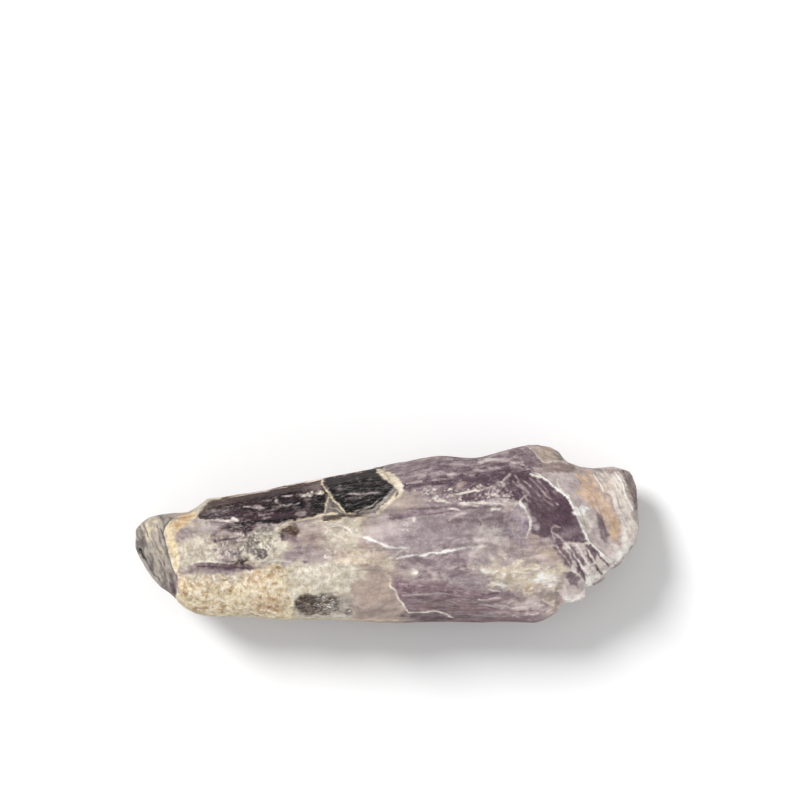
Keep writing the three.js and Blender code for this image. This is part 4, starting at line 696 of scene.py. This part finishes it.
# the side it lies on isn't seen in the picture, so its patches are invented
shardLooks["hiddenPatches"] = [
    ("crust under the west half", "greenWhite", 1.2, 0.7, [(-36, 1), (-28, 4), (-14, 5), (-6, 1), (-9, -6),
        (-20, -11), (-32, -10)], {"crust": 0.8}),
    ("orange under the west", "orange", 1, 0.5, [(-24, -4), (5, 3)], {"crust": 0.8}),
    ("plum under the middle", "plum", 0.6, 0.8, [(-6, 6), (4, 9), (14, 8), (18, 3), (8, 1), (-4, 2)],
        {"clear": 0.6}),
    ("plum under the east", "plum", 0.8, 0.7, [(20, -4), (27, -2), (30, -8), (22, -11), (12, -10)],
        {"clear": 0.6}),
    ("pale under the east", "paleLilac", 1, 0.7, [(34, 4), (6, 6)]),
    ("cream under the east", "cream", 0.8, 0.6, [(12, -3), (7, 2)], {"crust": 0.4}),
    ("grey under the cap", "smoke", 0.8, 0.9, [(-42, -2), (4, 6)]),
]
shardLooks["hiddenStrokes"] = [
    ("streaks under", "paleLilac", 0.16, 0.5, 90, (1, 6), 6, 12, areas["underside"]),
    ("dark streaks under", "mauve", 0.2, 0.5, 70, (1.5, 7), 6, 9, areas["underside"]),
    ("grains under", "ivory", 0.16, 0.5, 120, (0.2, 0.8), 0, 90, [(-36, 3), (-10, 5), (-8, -8),
        (-32, -10)]),
]


farAway = 1e9
tiny = 1e-9  # keeps a piece of no length from dividing by nothing
tinier = 1e-12  # the same for a level side
paintedMasks = ("crust", "fleck", "clear", "streak")


def smoothStep(value):
    t = np.clip(value, 0, 1)
    return t * t * (3 - 2 * t)


def noiseAt(points, length, stretch=(1, 1, 1), shift=0):
    # Perlin noise with features of about that length, one value for each point
    scaled = points / (np.array(stretch) * length) + shift
    return np.array([noise.noise(p) for p in scaled.tolist()])


def toPiece(a, b, x, y):
    # distance to a straight piece in mm, and how far along it from 0 to 1
    ex, ey = b[0] - a[0], b[1] - a[1]
    t = np.clip(((x - a[0]) * ex + (y - a[1]) * ey) / (ex * ex + ey * ey + tiny), 0, 1)
    return np.hypot(x - a[0] - t * ex, y - a[1] - t * ey), t


def insideBy(corners, x, y):
    # how far a point is inside the corners, in mm; minus outside
    nearest = np.full(x.shape, farAway)
    inside = np.zeros(x.shape, bool)
    for (ax, ay), (bx, by) in zip(corners, corners[1:] + corners[:1]):
        nearest = np.minimum(nearest, toPiece((ax, ay), (bx, by), x, y)[0])
        inside ^= ((ay > y) != (by > y)) & (x < (bx - ax) * (y - ay) / (by - ay + tinier) + ax)
    return np.where(inside, nearest, -nearest)


def insideOval(centre, radii, turn, x, y):
    a = math.radians(turn)
    dx, dy = x - centre[0], y - centre[1]
    u = (dx * math.cos(a) + dy * math.sin(a)) / radii[0]
    v = (dy * math.cos(a) - dx * math.sin(a)) / radii[1]
    return (1 - np.hypot(u, v)) * min(radii)


def lineReach(points, x, y):
    # distance to a line in mm, and how far along it from 0 to 1
    spans = [math.dist(a, b) for a, b in zip(points, points[1:])]
    whole, done = sum(spans), 0
    nearest, along = np.full(x.shape, farAway), np.zeros(x.shape)
    for a, b, span in zip(points, points[1:], spans):
        d, t = toPiece(a, b, x, y)
        along = np.where(d < nearest, (done + t * span) / whole, along)
        nearest = np.minimum(nearest, d)
        done += span
    return nearest, along


def bakedMesh(obj):
    bpy.context.view_layer.update()
    made = bpy.data.meshes.new_from_object(obj.evaluated_get(bpy.context.evaluated_depsgraph_get()))
    obj.modifiers.clear()
    obj.data = made


def isThinned(centre, normal, looks):
    # low and steep faces, but not the steep north side of the crystal, which shows in the picture
    west, east = looks["fineWall"]
    wall = west < centre.x < east and centre.y > 0 and normal.y > looks["wallFacing"]
    return centre.z < looks["hiddenFrom"] or (normal.z < looks["hiddenSlope"] and not wall)


def makeStone(node, looks):
    # an even skin over the CAD solid, fine above and coarser on the side it lies on
    mesh = node.data.copy()
    mesh.materials.clear()
    for vertex in mesh.vertices:
        vertex.co /= millimetre
    stone = bpy.data.objects.new("stone", mesh)
    bpy.context.scene.collection.objects.link(stone)
    voxels = stone.modifiers.new("voxels", "REMESH")
    voxels.mode, voxels.voxel_size = "VOXEL", looks["grain"]
    worn = stone.modifiers.new("worn", "SMOOTH")
    worn.factor, worn.iterations = 0.5, looks["smoothing"]
    bakedMesh(stone)

    for other in bpy.context.view_layer.objects:
        other.select_set(other == stone)
    bpy.context.view_layer.objects.active = stone
    mesh = stone.data
    low = np.array([isThinned(face.center, face.normal, looks) for face in mesh.polygons])
    bpy.ops.object.mode_set(mode="EDIT")
    bpy.context.tool_settings.mesh_select_mode = (False, False, True)
    bpy.ops.object.mode_set(mode="OBJECT")
    mesh.polygons.foreach_set("select", low)
    bpy.ops.object.mode_set(mode="EDIT")
    bpy.ops.mesh.decimate(ratio=looks["hiddenKeep"])
    bpy.ops.object.mode_set(mode="OBJECT")
    stone.data.polygons.foreach_set("use_smooth", [True] * len(stone.data.polygons))
    stone.data.calc_loop_triangles()
    print("stone skin", len(stone.data.loop_triangles), "triangles", int(low.sum()), "faces thinned")
    return stone


class Paint:
    # tones, masks and lift on the points of a mesh, before they go into its attributes
    def __init__(self, mesh, looks):
        count = len(mesh.vertices)
        self.looks = looks
        self.point = np.empty(count * 3)
        mesh.vertices.foreach_get("co", self.point)
        self.point = self.point.reshape(-1, 3)
        self.normal = np.empty(count * 3)
        mesh.vertices.foreach_get("normal", self.normal)
        self.normal = self.normal.reshape(-1, 3)
        self.x, self.y, self.z = self.point.T
        self.tone = np.zeros((count, 3))
        self.mask = {name: np.zeros(count) for name in paintedMasks}
        self.way = np.full(count, looks["bandWay"], float)
        self.lift = np.zeros(count)
        self.warpX, self.warpY, self.fineX, self.fineY = (
            sum(w * noiseAt(self.point, s, shift=s + turn) for w, s in looks[kind])
            for kind in ("warps", "fineWarps") for turn in (3, 23))
        self.clump = self.noiseSum((2.2, 1, 1), 31)
        self.fray = self.noiseSum((1.3, 1, 1), 37)
        wobble = noiseAt(self.point, 5, shift=41)
        self.up = smoothStep((self.z + 1.2 * wobble - looks["upFrom"]) / looks["upOver"])
        self.up *= smoothStep((self.normal[:, 2] - looks["sideFrom"]) / looks["sideOver"])

    def noiseSum(self, stretch, shift):
        # broad and fine noise together, from about -1 to 1
        return sum(w * noiseAt(self.point, s, stretch, shift + s)
                   for w, s in ((0.9, 1.7), (0.9, 0.8), (0.8, 0.42)))

    def cover(self, at, amount, tone, extras):
        self.tone[at] += (np.array(self.looks["tones"][tone]) / 255 - self.tone[at]) * amount[:, None]
        for name, mask in self.mask.items():
            if name in extras or "lift" not in extras:
                mask[at] += (extras.get(name, 0) - mask[at]) * amount
        if "way" in extras:
            self.way[at] = np.where(amount > 0.5, extras["way"], self.way[at])
        self.lift[at] += extras.get("lift", 0) * amount

    def near(self, points, reach, within=None):
        xs, ys = [p[0] for p in points], [p[1] for p in points]
        x, y = (self.x, self.y) if within is None else (self.x[within], self.y[within])
        hit = (x > min(xs) - reach) & (x < max(xs) + reach)
        hit &= (y > min(ys) - reach) & (y < max(ys) + reach)
        return np.nonzero(hit)[0] if within is None else within[hit]

    def patch(self, tone, edge, amount, points, extras, side):
        # the edge wanders and frays; a patch of part strength breaks up into clumps
        rag = min(0.1 + 0.9 * edge, 1.3) * extras.get("rag", 1)
        oval = len(points) == 2
        around = points
        if oval:
            (cx, cy), radii = points
            around = [(cx - max(radii), cy - max(radii)), (cx + max(radii), cy + max(radii))]
        at = self.near(around, 2 * edge + 1.5 * rag + 0.5)
        x = self.x[at] + rag * (self.warpX[at] + self.fineX[at])
        y = self.y[at] + rag * (self.warpY[at] + self.fineY[at])
        field = insideOval(*points, extras.get("turn", 0), x, y) if oval else insideBy(points, x, y)
        weight = smoothStep(0.5 + (field + 0.5 * rag * self.fray[at]) / (2 * edge)) * amount
        weight = np.clip(weight + extras.get("clump", 2.2) * weight * (1 - weight) * self.clump[at], 0, 1)
        if "facing" in extras:
            weight *= smoothStep((self.normal[at, :2] @ np.array(extras["facing"]) - 0.6) / 0.2)
        self.cover(at, weight * side[at], tone, extras)

    def line(self, tone, width, amount, points, extras, side, within=None):
        # a line wanders, swells and breaks off as it goes
        at = self.near(points, 3 * width + 0.6, within)
        if not len(at):
            return
        rag = extras.get("rag", 0.3)
        x = self.x[at] + rag * self.warpX[at] + 0.12 * self.fineX[at]
        y = self.y[at] + rag * self.warpY[at] + 0.12 * self.fineY[at]
        far, along = lineReach(points, x, y)
        wide = width * (0.35 + 0.65 * np.sqrt(np.sin(math.pi * np.clip(along, 0.02, 0.98))))
        wide = np.maximum(wide * np.clip(1 + 0.8 * self.fray[at], 0.4, 1.8), 0.12)
        weight = smoothStep(1 - (far - 0.4 * wide) / (0.7 * wide + 0.1))
        weight = np.clip(weight * amount * (1.15 + extras.get("break", 0.8) * self.clump[at]), 0, 1)
        self.cover(at, weight * side[at], tone, {"lift": 0, **extras})


def withExtras(row):
    return row if isinstance(row[-1], dict) else (*row, {})


def paintStrokes(paint, family, side, seed):
    name, tone, width, amount, count, (least, most), angle, spread, area, extras = withExtras(family)
    draw = random.Random(seed)
    xs, ys = [p[0] for p in area], [p[1] for p in area]
    within = paint.near(area, most)
    made = 0
    while made < count:
        x, y = draw.uniform(min(xs), max(xs)), draw.uniform(min(ys), max(ys))
        if insideBy(area, np.array([x]), np.array([y]))[0] < 0:
            continue
        made += 1
        length = draw.uniform(least, most) * draw.uniform(0.5, 1)
        way = math.radians(angle + draw.uniform(-spread, spread))
        bend = math.radians(extras.get("bend", 0) + draw.uniform(-6, 6))
        step = (length / 2 * math.cos(way), length / 2 * math.sin(way))
        last = (length / 2 * math.cos(way + bend), length / 2 * math.sin(way + bend))
        points = [(x - step[0], y - step[1]), (x, y), (x + last[0], y + last[1])]
        wide, strong = width * draw.uniform(0.7, 1.4), amount * draw.uniform(0.5, 1)
        paint.line(tone, wide, strong, points, extras, side, within)


def paintStone(stone, looks):
    mesh = stone.data
    paint = Paint(mesh, looks)
    tones = {name: np.array(tone) / 255 for name, tone in looks["tones"].items()}
    cloud = smoothStep(0.5 + 0.9 * noiseAt(paint.point, 6, (1.8, 1, 1), 51))
    wisps = smoothStep(0.5 + 1.1 * noiseAt(paint.point, 2.1, (2.6, 1, 1), 53))
    paint.tone += tones["lilac"] * cloud[:, None] + tones["pinkBeige"] * (1 - cloud[:, None])
    paint.tone += (tones["paleLilac"] - paint.tone) * (looks["wispShare"] * wisps)[:, None]
    paint.mask["streak"] += looks["plainStreak"]
    down = 1 - paint.up
    for name, tone, edge, amount, points, extras in map(withExtras, looks["hiddenPatches"]):
        paint.patch(tone, edge, amount, points, extras, down)
    # marks are laid down in plan, so they stay off the steep sides, where they would smear
    under = down * smoothStep((-paint.normal[:, 2] - looks["underFrom"]) / looks["underOver"])
    for seed, family in enumerate(looks["hiddenStrokes"]):
        paintStrokes(paint, family, under, 100 + seed)
    print("hidden side painted")
    for name, tone, edge, amount, points, extras in map(withExtras, looks["patches"]):
        through = paint.up if edge < looks["spillFrom"] else paint.up + down * looks["spillShare"]
        paint.patch(tone, edge, amount, points, extras, through)
    print("patches painted")
    for seed, family in enumerate(looks["strokes"]):
        paintStrokes(paint, family, paint.up, 10 + seed)
    for name, tone, width, amount, points, extras in map(withExtras, looks["lines"]):
        paint.line(tone, width, amount, points, extras, paint.up)
    print("lines painted")

    # soft clouds of light and shade in the quartz itself
    shade = looks["cloudShade"] * noiseAt(paint.point, 3.2, (2.2, 1, 1), 71)
    shade += looks["bandShade"] * paint.noiseSum((4, 1, 1), 73)
    paint.tone *= (1 + shade * (1 - looks["clearCalm"] * paint.mask["clear"]))[:, None]
    paint.tone = np.clip(paint.tone, 0, 1)

    paint.mask["dull"] = smoothStep((looks["dullBelow"] - paint.normal[:, 2]) / looks["dullOver"])
    relief = paint.lift
    relief += looks["crustRelief"] * paint.mask["crust"] * noiseAt(paint.point, 0.7, shift=61)
    relief += looks["bandRelief"] * noiseAt(paint.point, 0.9, (4, 1, 1), 63) * (0.4 + paint.mask["streak"])
    relief += looks["swellRelief"] * noiseAt(paint.point, 2.4, (1.6, 1, 1), 65)
    relief *= smoothStep(paint.z / looks["footFade"])
    moved = paint.point + paint.normal * relief[:, None]
    low = np.array(cadBox[0]) / millimetre + looks["boxMargin"] * np.array([1, 1, 0])
    high = np.array(cadBox[1]) / millimetre - looks["boxMargin"]
    moved = np.clip(moved, low, high) * millimetre
    mesh.vertices.foreach_set("co", moved.ravel())
    mesh.update()

    # from the screen's tones to linear light
    linear = np.where(paint.tone <= 0.04045, paint.tone / 12.92, ((paint.tone + 0.055) / 1.055) ** 2.4)
    linear *= looks["albedo"]
    colour = mesh.attributes.new("stoneTone", "FLOAT_COLOR", "POINT")
    colour.data.foreach_set("color", np.c_[linear, np.ones(len(linear))].astype(np.float32).ravel())
    for name, mask in paint.mask.items():
        mesh.attributes.new(name, "FLOAT", "POINT").data.foreach_set("value", mask.astype(np.float32))
    turn = np.radians(paint.way)
    along = paint.x * np.cos(turn) + paint.y * np.sin(turn)
    across = paint.y * np.cos(turn) - paint.x * np.sin(turn)
    flow = np.c_[along, across, paint.z].astype(np.float32)
    mesh.attributes.new("flow", "FLOAT_VECTOR", "POINT").data.foreach_set("vector", flow.ravel())
    print("relief and tones set")


shardLooks["finish"] = {
    "roughness": 0.5, "clearRoughness": 0.3, "ior": 1.544, "specular": 0.16, "transmission": 0.0,
    "coat": 0.03, "coatRoughness": 0.3,
    # what the crust, the steep sides and the mottle add to the roughness
    "crustRoughness": 0.2, "sideRoughness": 0.6, "mottleRoughness": 0.3,
    "bumpDistance": 0.2, "bumpStrength": 0.45, "crustBump": 0.7, "fleckBump": 0.25,
    "mottle": 0.45, "streaks": 1.1, "grain": 0.25, "veins": 0.5, "crustContrast": 0.95, "fleckShare": 0.5,
    "quartzPale": (0.78, 0.73, 0.68, 1), "quartzDeep": (0.36, 0.28, 0.32, 1),
    # the crust's pale grains, partly painted highlight, and its tan, partly painted shade in the gaps
    "crustPaleAndHighlight": (0.88, 0.81, 0.65, 1), "crustTanAndShade": (0.52, 0.4, 0.23, 1),
    "veinTone": (0.8, 0.76, 0.72, 1), "fleckTone": (0.84, 0.8, 0.74, 1),
    # the patterns' scales are for a millimetre
    "mottleScale": 0.7, "streakScale": 1.0, "streakStretch": (0.17, 1.1, 1), "grainScale": 3.4,
    "crustScale": 0.85, "cellScale": 1.35,
    "fleckScale": 2.1, "fleckStretch": (0.7, 1.3, 1), "fleckRadians": 0.25,
    # each layer of veins: stretch, scale, and how thin its lines are
    "veinLayers": [((0.3, 1.3, 1), 0.9, 26), ((0.55, 2.1, 1), 1.5, 17)],
}
socketKinds = {"colour": "NodeSocketColor", "value": "NodeSocketFloat", "vector": "NodeSocketVector"}


def newGroup(name, inputs, outputs):
    group = bpy.data.node_groups.new(name, "ShaderNodeTree")
    for way, sockets in (("INPUT", inputs), ("OUTPUT", outputs)):
        for label, kind in sockets.items():
            group.interface.new_socket(label, in_out=way, socket_type=socketKinds[kind])
    return group, group.nodes.new("NodeGroupInput").outputs, group.nodes.new("NodeGroupOutput").inputs


def addNode(tree, kind, inputs=None, **settings):
    # inputs hold, by a socket's name or number, a value or another node's output
    node = tree.nodes.new(kind)
    for name, value in settings.items():
        setattr(node, name, value)
    for socket, value in (inputs or {}).items():
        if isinstance(value, bpy.types.NodeSocket):
            tree.links.new(value, node.inputs[socket])
        else:
            node.inputs[socket].default_value = value
    return node


def addGroup(tree, group, inputs):
    return addNode(tree, "ShaderNodeGroup", inputs, node_tree=group).outputs


def addMath(tree, operation, a, b=0.0, c=0.0, clamp=False):
    inputs = {0: a, 1: b, 2: c}
    return addNode(tree, "ShaderNodeMath", inputs, operation=operation, use_clamp=clamp).outputs[0]


def mixColour(tree, amount, a, b, blend="MIX"):
    inputs = {0: amount, 6: a, 7: b}
    return addNode(tree, "ShaderNodeMix", inputs, data_type="RGBA", blend_type=blend).outputs[2]


def scaleVector(tree, vector, factor):
    return addNode(tree, "ShaderNodeVectorMath", {0: vector, 3: factor}, operation="SCALE").outputs[0]


def stretchVector(tree, vector, scale, radians=0.0):
    inputs = {"Vector": vector, "Scale": scale, "Rotation": (0, 0, radians)}
    return addNode(tree, "ShaderNodeMapping", inputs).outputs[0]


def addNoise(tree, at, scale, detail, roughness=0.5, distortion=0.0):
    inputs = {"Vector": at, "Scale": scale, "Detail": detail,
              "Roughness": roughness, "Distortion": distortion}
    return addNode(tree, "ShaderNodeTexNoise", inputs).outputs["Fac"]


def aboveHalf(tree, level):
    return addMath(tree, "SUBTRACT", level, 0.5)


def inMillimetres(tree):
    return scaleVector(tree, addNode(tree, "ShaderNodeTexCoord").outputs["Object"], 1 / millimetre)


def quartzMottle(looks):
    # cloudy quartz: soft mottle, streaks along the banding and a fine grain, paler or deeper than its tone
    inputs = {"Tone": "colour", "Flow": "vector", "Streak": "value", "Clear": "value",
              "Mottle": "value", "Streaks": "value", "Grain": "value"}
    group, given, out = newGroup("quartzMottle", inputs, {"Color": "colour", "Height": "value"})
    at = inMillimetres(group)
    along = stretchVector(group, given["Flow"], looks["streakStretch"])
    mottle = addNoise(group, at, looks["mottleScale"], 4, 0.6)
    streak = addNoise(group, along, looks["streakScale"], 3, 0.55, 0.5)
    grain = addNoise(group, at, looks["grainScale"], 3, 0.7)
    streak = addMath(group, "MULTIPLY", aboveHalf(group, streak), given["Streaks"])
    streak = addMath(group, "MULTIPLY", streak, addMath(group, "ADD", given["Streak"], 0.15))
    total = addMath(group, "MULTIPLY", aboveHalf(group, mottle), given["Mottle"])
    total = addMath(group, "ADD", total, streak)
    total = addMath(group, "ADD", total, addMath(group, "MULTIPLY", aboveHalf(group, grain), given["Grain"]))
    calm = addMath(group, "MULTIPLY_ADD", given["Clear"], -1, 1)
    pale = addMath(group, "MULTIPLY", addMath(group, "MULTIPLY", total, calm), 1.4, clamp=True)
    deep = addMath(group, "MULTIPLY", total, -1.9, clamp=True)
    level = addMath(group, "MAXIMUM", addMath(group, "MULTIPLY_ADD", total, 1.2, 1), 0.5)
    lighter = mixColour(group, pale, scaleVector(group, given["Tone"], level), looks["quartzPale"])
    darker = mixColour(group, deep, lighter, looks["quartzDeep"], "MULTIPLY")
    group.links.new(darker, out["Color"])
    group.links.new(total, out["Height"])
    return group


def whiteVeins(looks):
    # hair lines of broken white along the banding, thickest where the quartz is flecked or streaked
    inputs = {"Tone": "colour", "Flow": "vector", "Amount": "value", "Vein Tone": "colour"}
    group, given, out = newGroup("whiteVeins", inputs, {"Color": "colour", "Mask": "value"})
    layers = []
    for stretch, scale, thin in looks["veinLayers"]:
        along = stretchVector(group, given["Flow"], stretch)
        off = addMath(group, "ABSOLUTE", aboveHalf(group, addNoise(group, along, scale, 3, 0.6)))
        ridge = addMath(group, "MULTIPLY_ADD", off, -thin, 1, clamp=True)
        gaps = aboveHalf(group, addNoise(group, along, scale * 1.7, 2))
        layers.append(addMath(group, "MULTIPLY", ridge, addMath(group, "MULTIPLY", gaps, 8, clamp=True)))
    mask = layers[0]
    for layer in layers[1:]:
        mask = addMath(group, "MAXIMUM", mask, layer)
    mask = addMath(group, "MULTIPLY", mask, given["Amount"], clamp=True)
    group.links.new(mixColour(group, mask, given["Tone"], given["Vein Tone"]), out["Color"])
    group.links.new(mask, out["Mask"])
    return group


def crustGrain(looks):
    # the sugary crust: cream and white grains, with tan in the gaps between them; the raised grains are
    # lightened partly with painted highlight and the low gaps darkened partly with painted shade
    inputs = {"Tone": "colour", "Crust": "value", "Contrast": "value"}
    group, given, out = newGroup("crustGrain", inputs, {"Color": "colour", "Height": "value"})
    at = inMillimetres(group)
    coarse = aboveHalf(group, addNoise(group, at, looks["crustScale"], 4, 0.75, 0.6))
    cells = addNode(group, "ShaderNodeTexVoronoi", {"Vector": at, "Scale": looks["cellScale"]}).outputs
    pick = addNode(group, "ShaderNodeSeparateColor", {"Color": cells["Color"]}).outputs["Red"]
    middle = addMath(group, "SUBTRACT", 0.42, cells["Distance"])
    level = addMath(group, "MULTIPLY", coarse, 3.2)
    level = addMath(group, "MULTIPLY_ADD", aboveHalf(group, pick), 0.55, level)
    level = addMath(group, "MULTIPLY_ADD", middle, 0.6, level)
    # pale on the high grains is partly painted highlight, deep in the low gaps partly painted shade
    pale = addMath(group, "MULTIPLY", level, 1.2, clamp=True)
    deep = addMath(group, "MULTIPLY", level, -1.2, clamp=True)
    lighter = mixColour(group, pale, given["Tone"], looks["crustPaleAndHighlight"])
    grains = mixColour(group, deep, lighter, looks["crustTanAndShade"], "MULTIPLY")
    amount = addMath(group, "MULTIPLY", given["Crust"], given["Contrast"])
    group.links.new(mixColour(group, amount, given["Tone"], grains), out["Color"])
    group.links.new(addMath(group, "MULTIPLY", level, given["Crust"]), out["Height"])
    return group


def paleFlecks(looks):
    # small white cleavage flecks
    inputs = {"Tone": "colour", "Fleck": "value", "Share": "value", "Fleck Tone": "colour"}
    group, given, out = newGroup("paleFlecks", inputs, {"Color": "colour", "Mask": "value"})
    along = stretchVector(group, inMillimetres(group), looks["fleckStretch"], looks["fleckRadians"])
    specks = addNoise(group, along, looks["fleckScale"], 3, 0.7)
    level = addMath(group, "MULTIPLY_ADD", given["Fleck"], given["Share"], specks)
    mask = addMath(group, "MULTIPLY", addMath(group, "SUBTRACT", level, 0.8), 6, clamp=True)
    group.links.new(mixColour(group, mask, given["Tone"], given["Fleck Tone"]), out["Color"])
    group.links.new(mask, out["Mask"])
    return group


def amethystMaterial(looks):
    material = bpy.data.materials.new("tumbledAmethyst")
    material.use_nodes = True
    tree = material.node_tree
    shader = tree.nodes["Principled BSDF"]
    read = {name: addNode(tree, "ShaderNodeAttribute", attribute_name=name).outputs["Fac"]
            for name in (*paintedMasks, "dull")}
    tone = addNode(tree, "ShaderNodeAttribute", attribute_name="stoneTone").outputs["Color"]
    flow = addNode(tree, "ShaderNodeAttribute", attribute_name="flow").outputs["Vector"]
    veined = addMath(tree, "ADD", read["fleck"], addMath(tree, "MULTIPLY", read["streak"], 0.6))
    veined = addMath(tree, "MULTIPLY", addMath(tree, "ADD", veined, 0.15), looks["veins"])
    mottle = addGroup(tree, quartzMottle(looks), {
        "Tone": tone, "Flow": flow, "Streak": read["streak"], "Clear": read["clear"],
        "Mottle": looks["mottle"], "Streaks": looks["streaks"], "Grain": looks["grain"]})
    veins = addGroup(tree, whiteVeins(looks), {
        "Tone": mottle["Color"], "Flow": flow, "Amount": veined, "Vein Tone": looks["veinTone"]})
    crust = addGroup(tree, crustGrain(looks), {
        "Tone": veins["Color"], "Crust": read["crust"], "Contrast": looks["crustContrast"]})
    flecks = addGroup(tree, paleFlecks(looks), {
        "Tone": crust["Color"], "Fleck": read["fleck"], "Share": looks["fleckShare"],
        "Fleck Tone": looks["fleckTone"]})
    tree.links.new(flecks["Color"], shader.inputs["Base Color"])

    cleared = looks["clearRoughness"] - looks["roughness"]
    rough = addMath(tree, "MULTIPLY_ADD", read["clear"], cleared, looks["roughness"])
    rough = addMath(tree, "MULTIPLY_ADD", read["crust"], looks["crustRoughness"], rough)
    rough = addMath(tree, "MULTIPLY_ADD", read["dull"], looks["sideRoughness"], rough)
    rough = addMath(tree, "MULTIPLY_ADD", mottle["Height"], looks["mottleRoughness"], rough, clamp=True)
    tree.links.new(rough, shader.inputs["Roughness"])
    height = addMath(tree, "MULTIPLY_ADD", crust["Height"], looks["crustBump"], mottle["Height"])
    height = addMath(tree, "MULTIPLY_ADD", flecks["Mask"], looks["fleckBump"], height)
    bump = addNode(tree, "ShaderNodeBump", {
        "Height": height, "Distance": looks["bumpDistance"] * millimetre, "Strength": looks["bumpStrength"]})
    tree.links.new(bump.outputs["Normal"], shader.inputs["Normal"])
    plain = {"IOR": "ior", "Specular IOR Level": "specular", "Transmission Weight": "transmission",
             "Coat Weight": "coat", "Coat Roughness": "coatRoughness"}
    for socket, name in plain.items():
        shader.inputs[socket].default_value = looks[name]
    return material


floor = makeStudio()
stone = makeStone(frame["nodes"]["shard"], shardLooks)
paintStone(stone, shardLooks)
stone.data.materials.append(amethystMaterial(shardLooks["finish"]))
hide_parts("shard")
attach(stone, "root")
print("material made")
makeKey("floorKey", floor)
makeKey("stoneKey", stone)
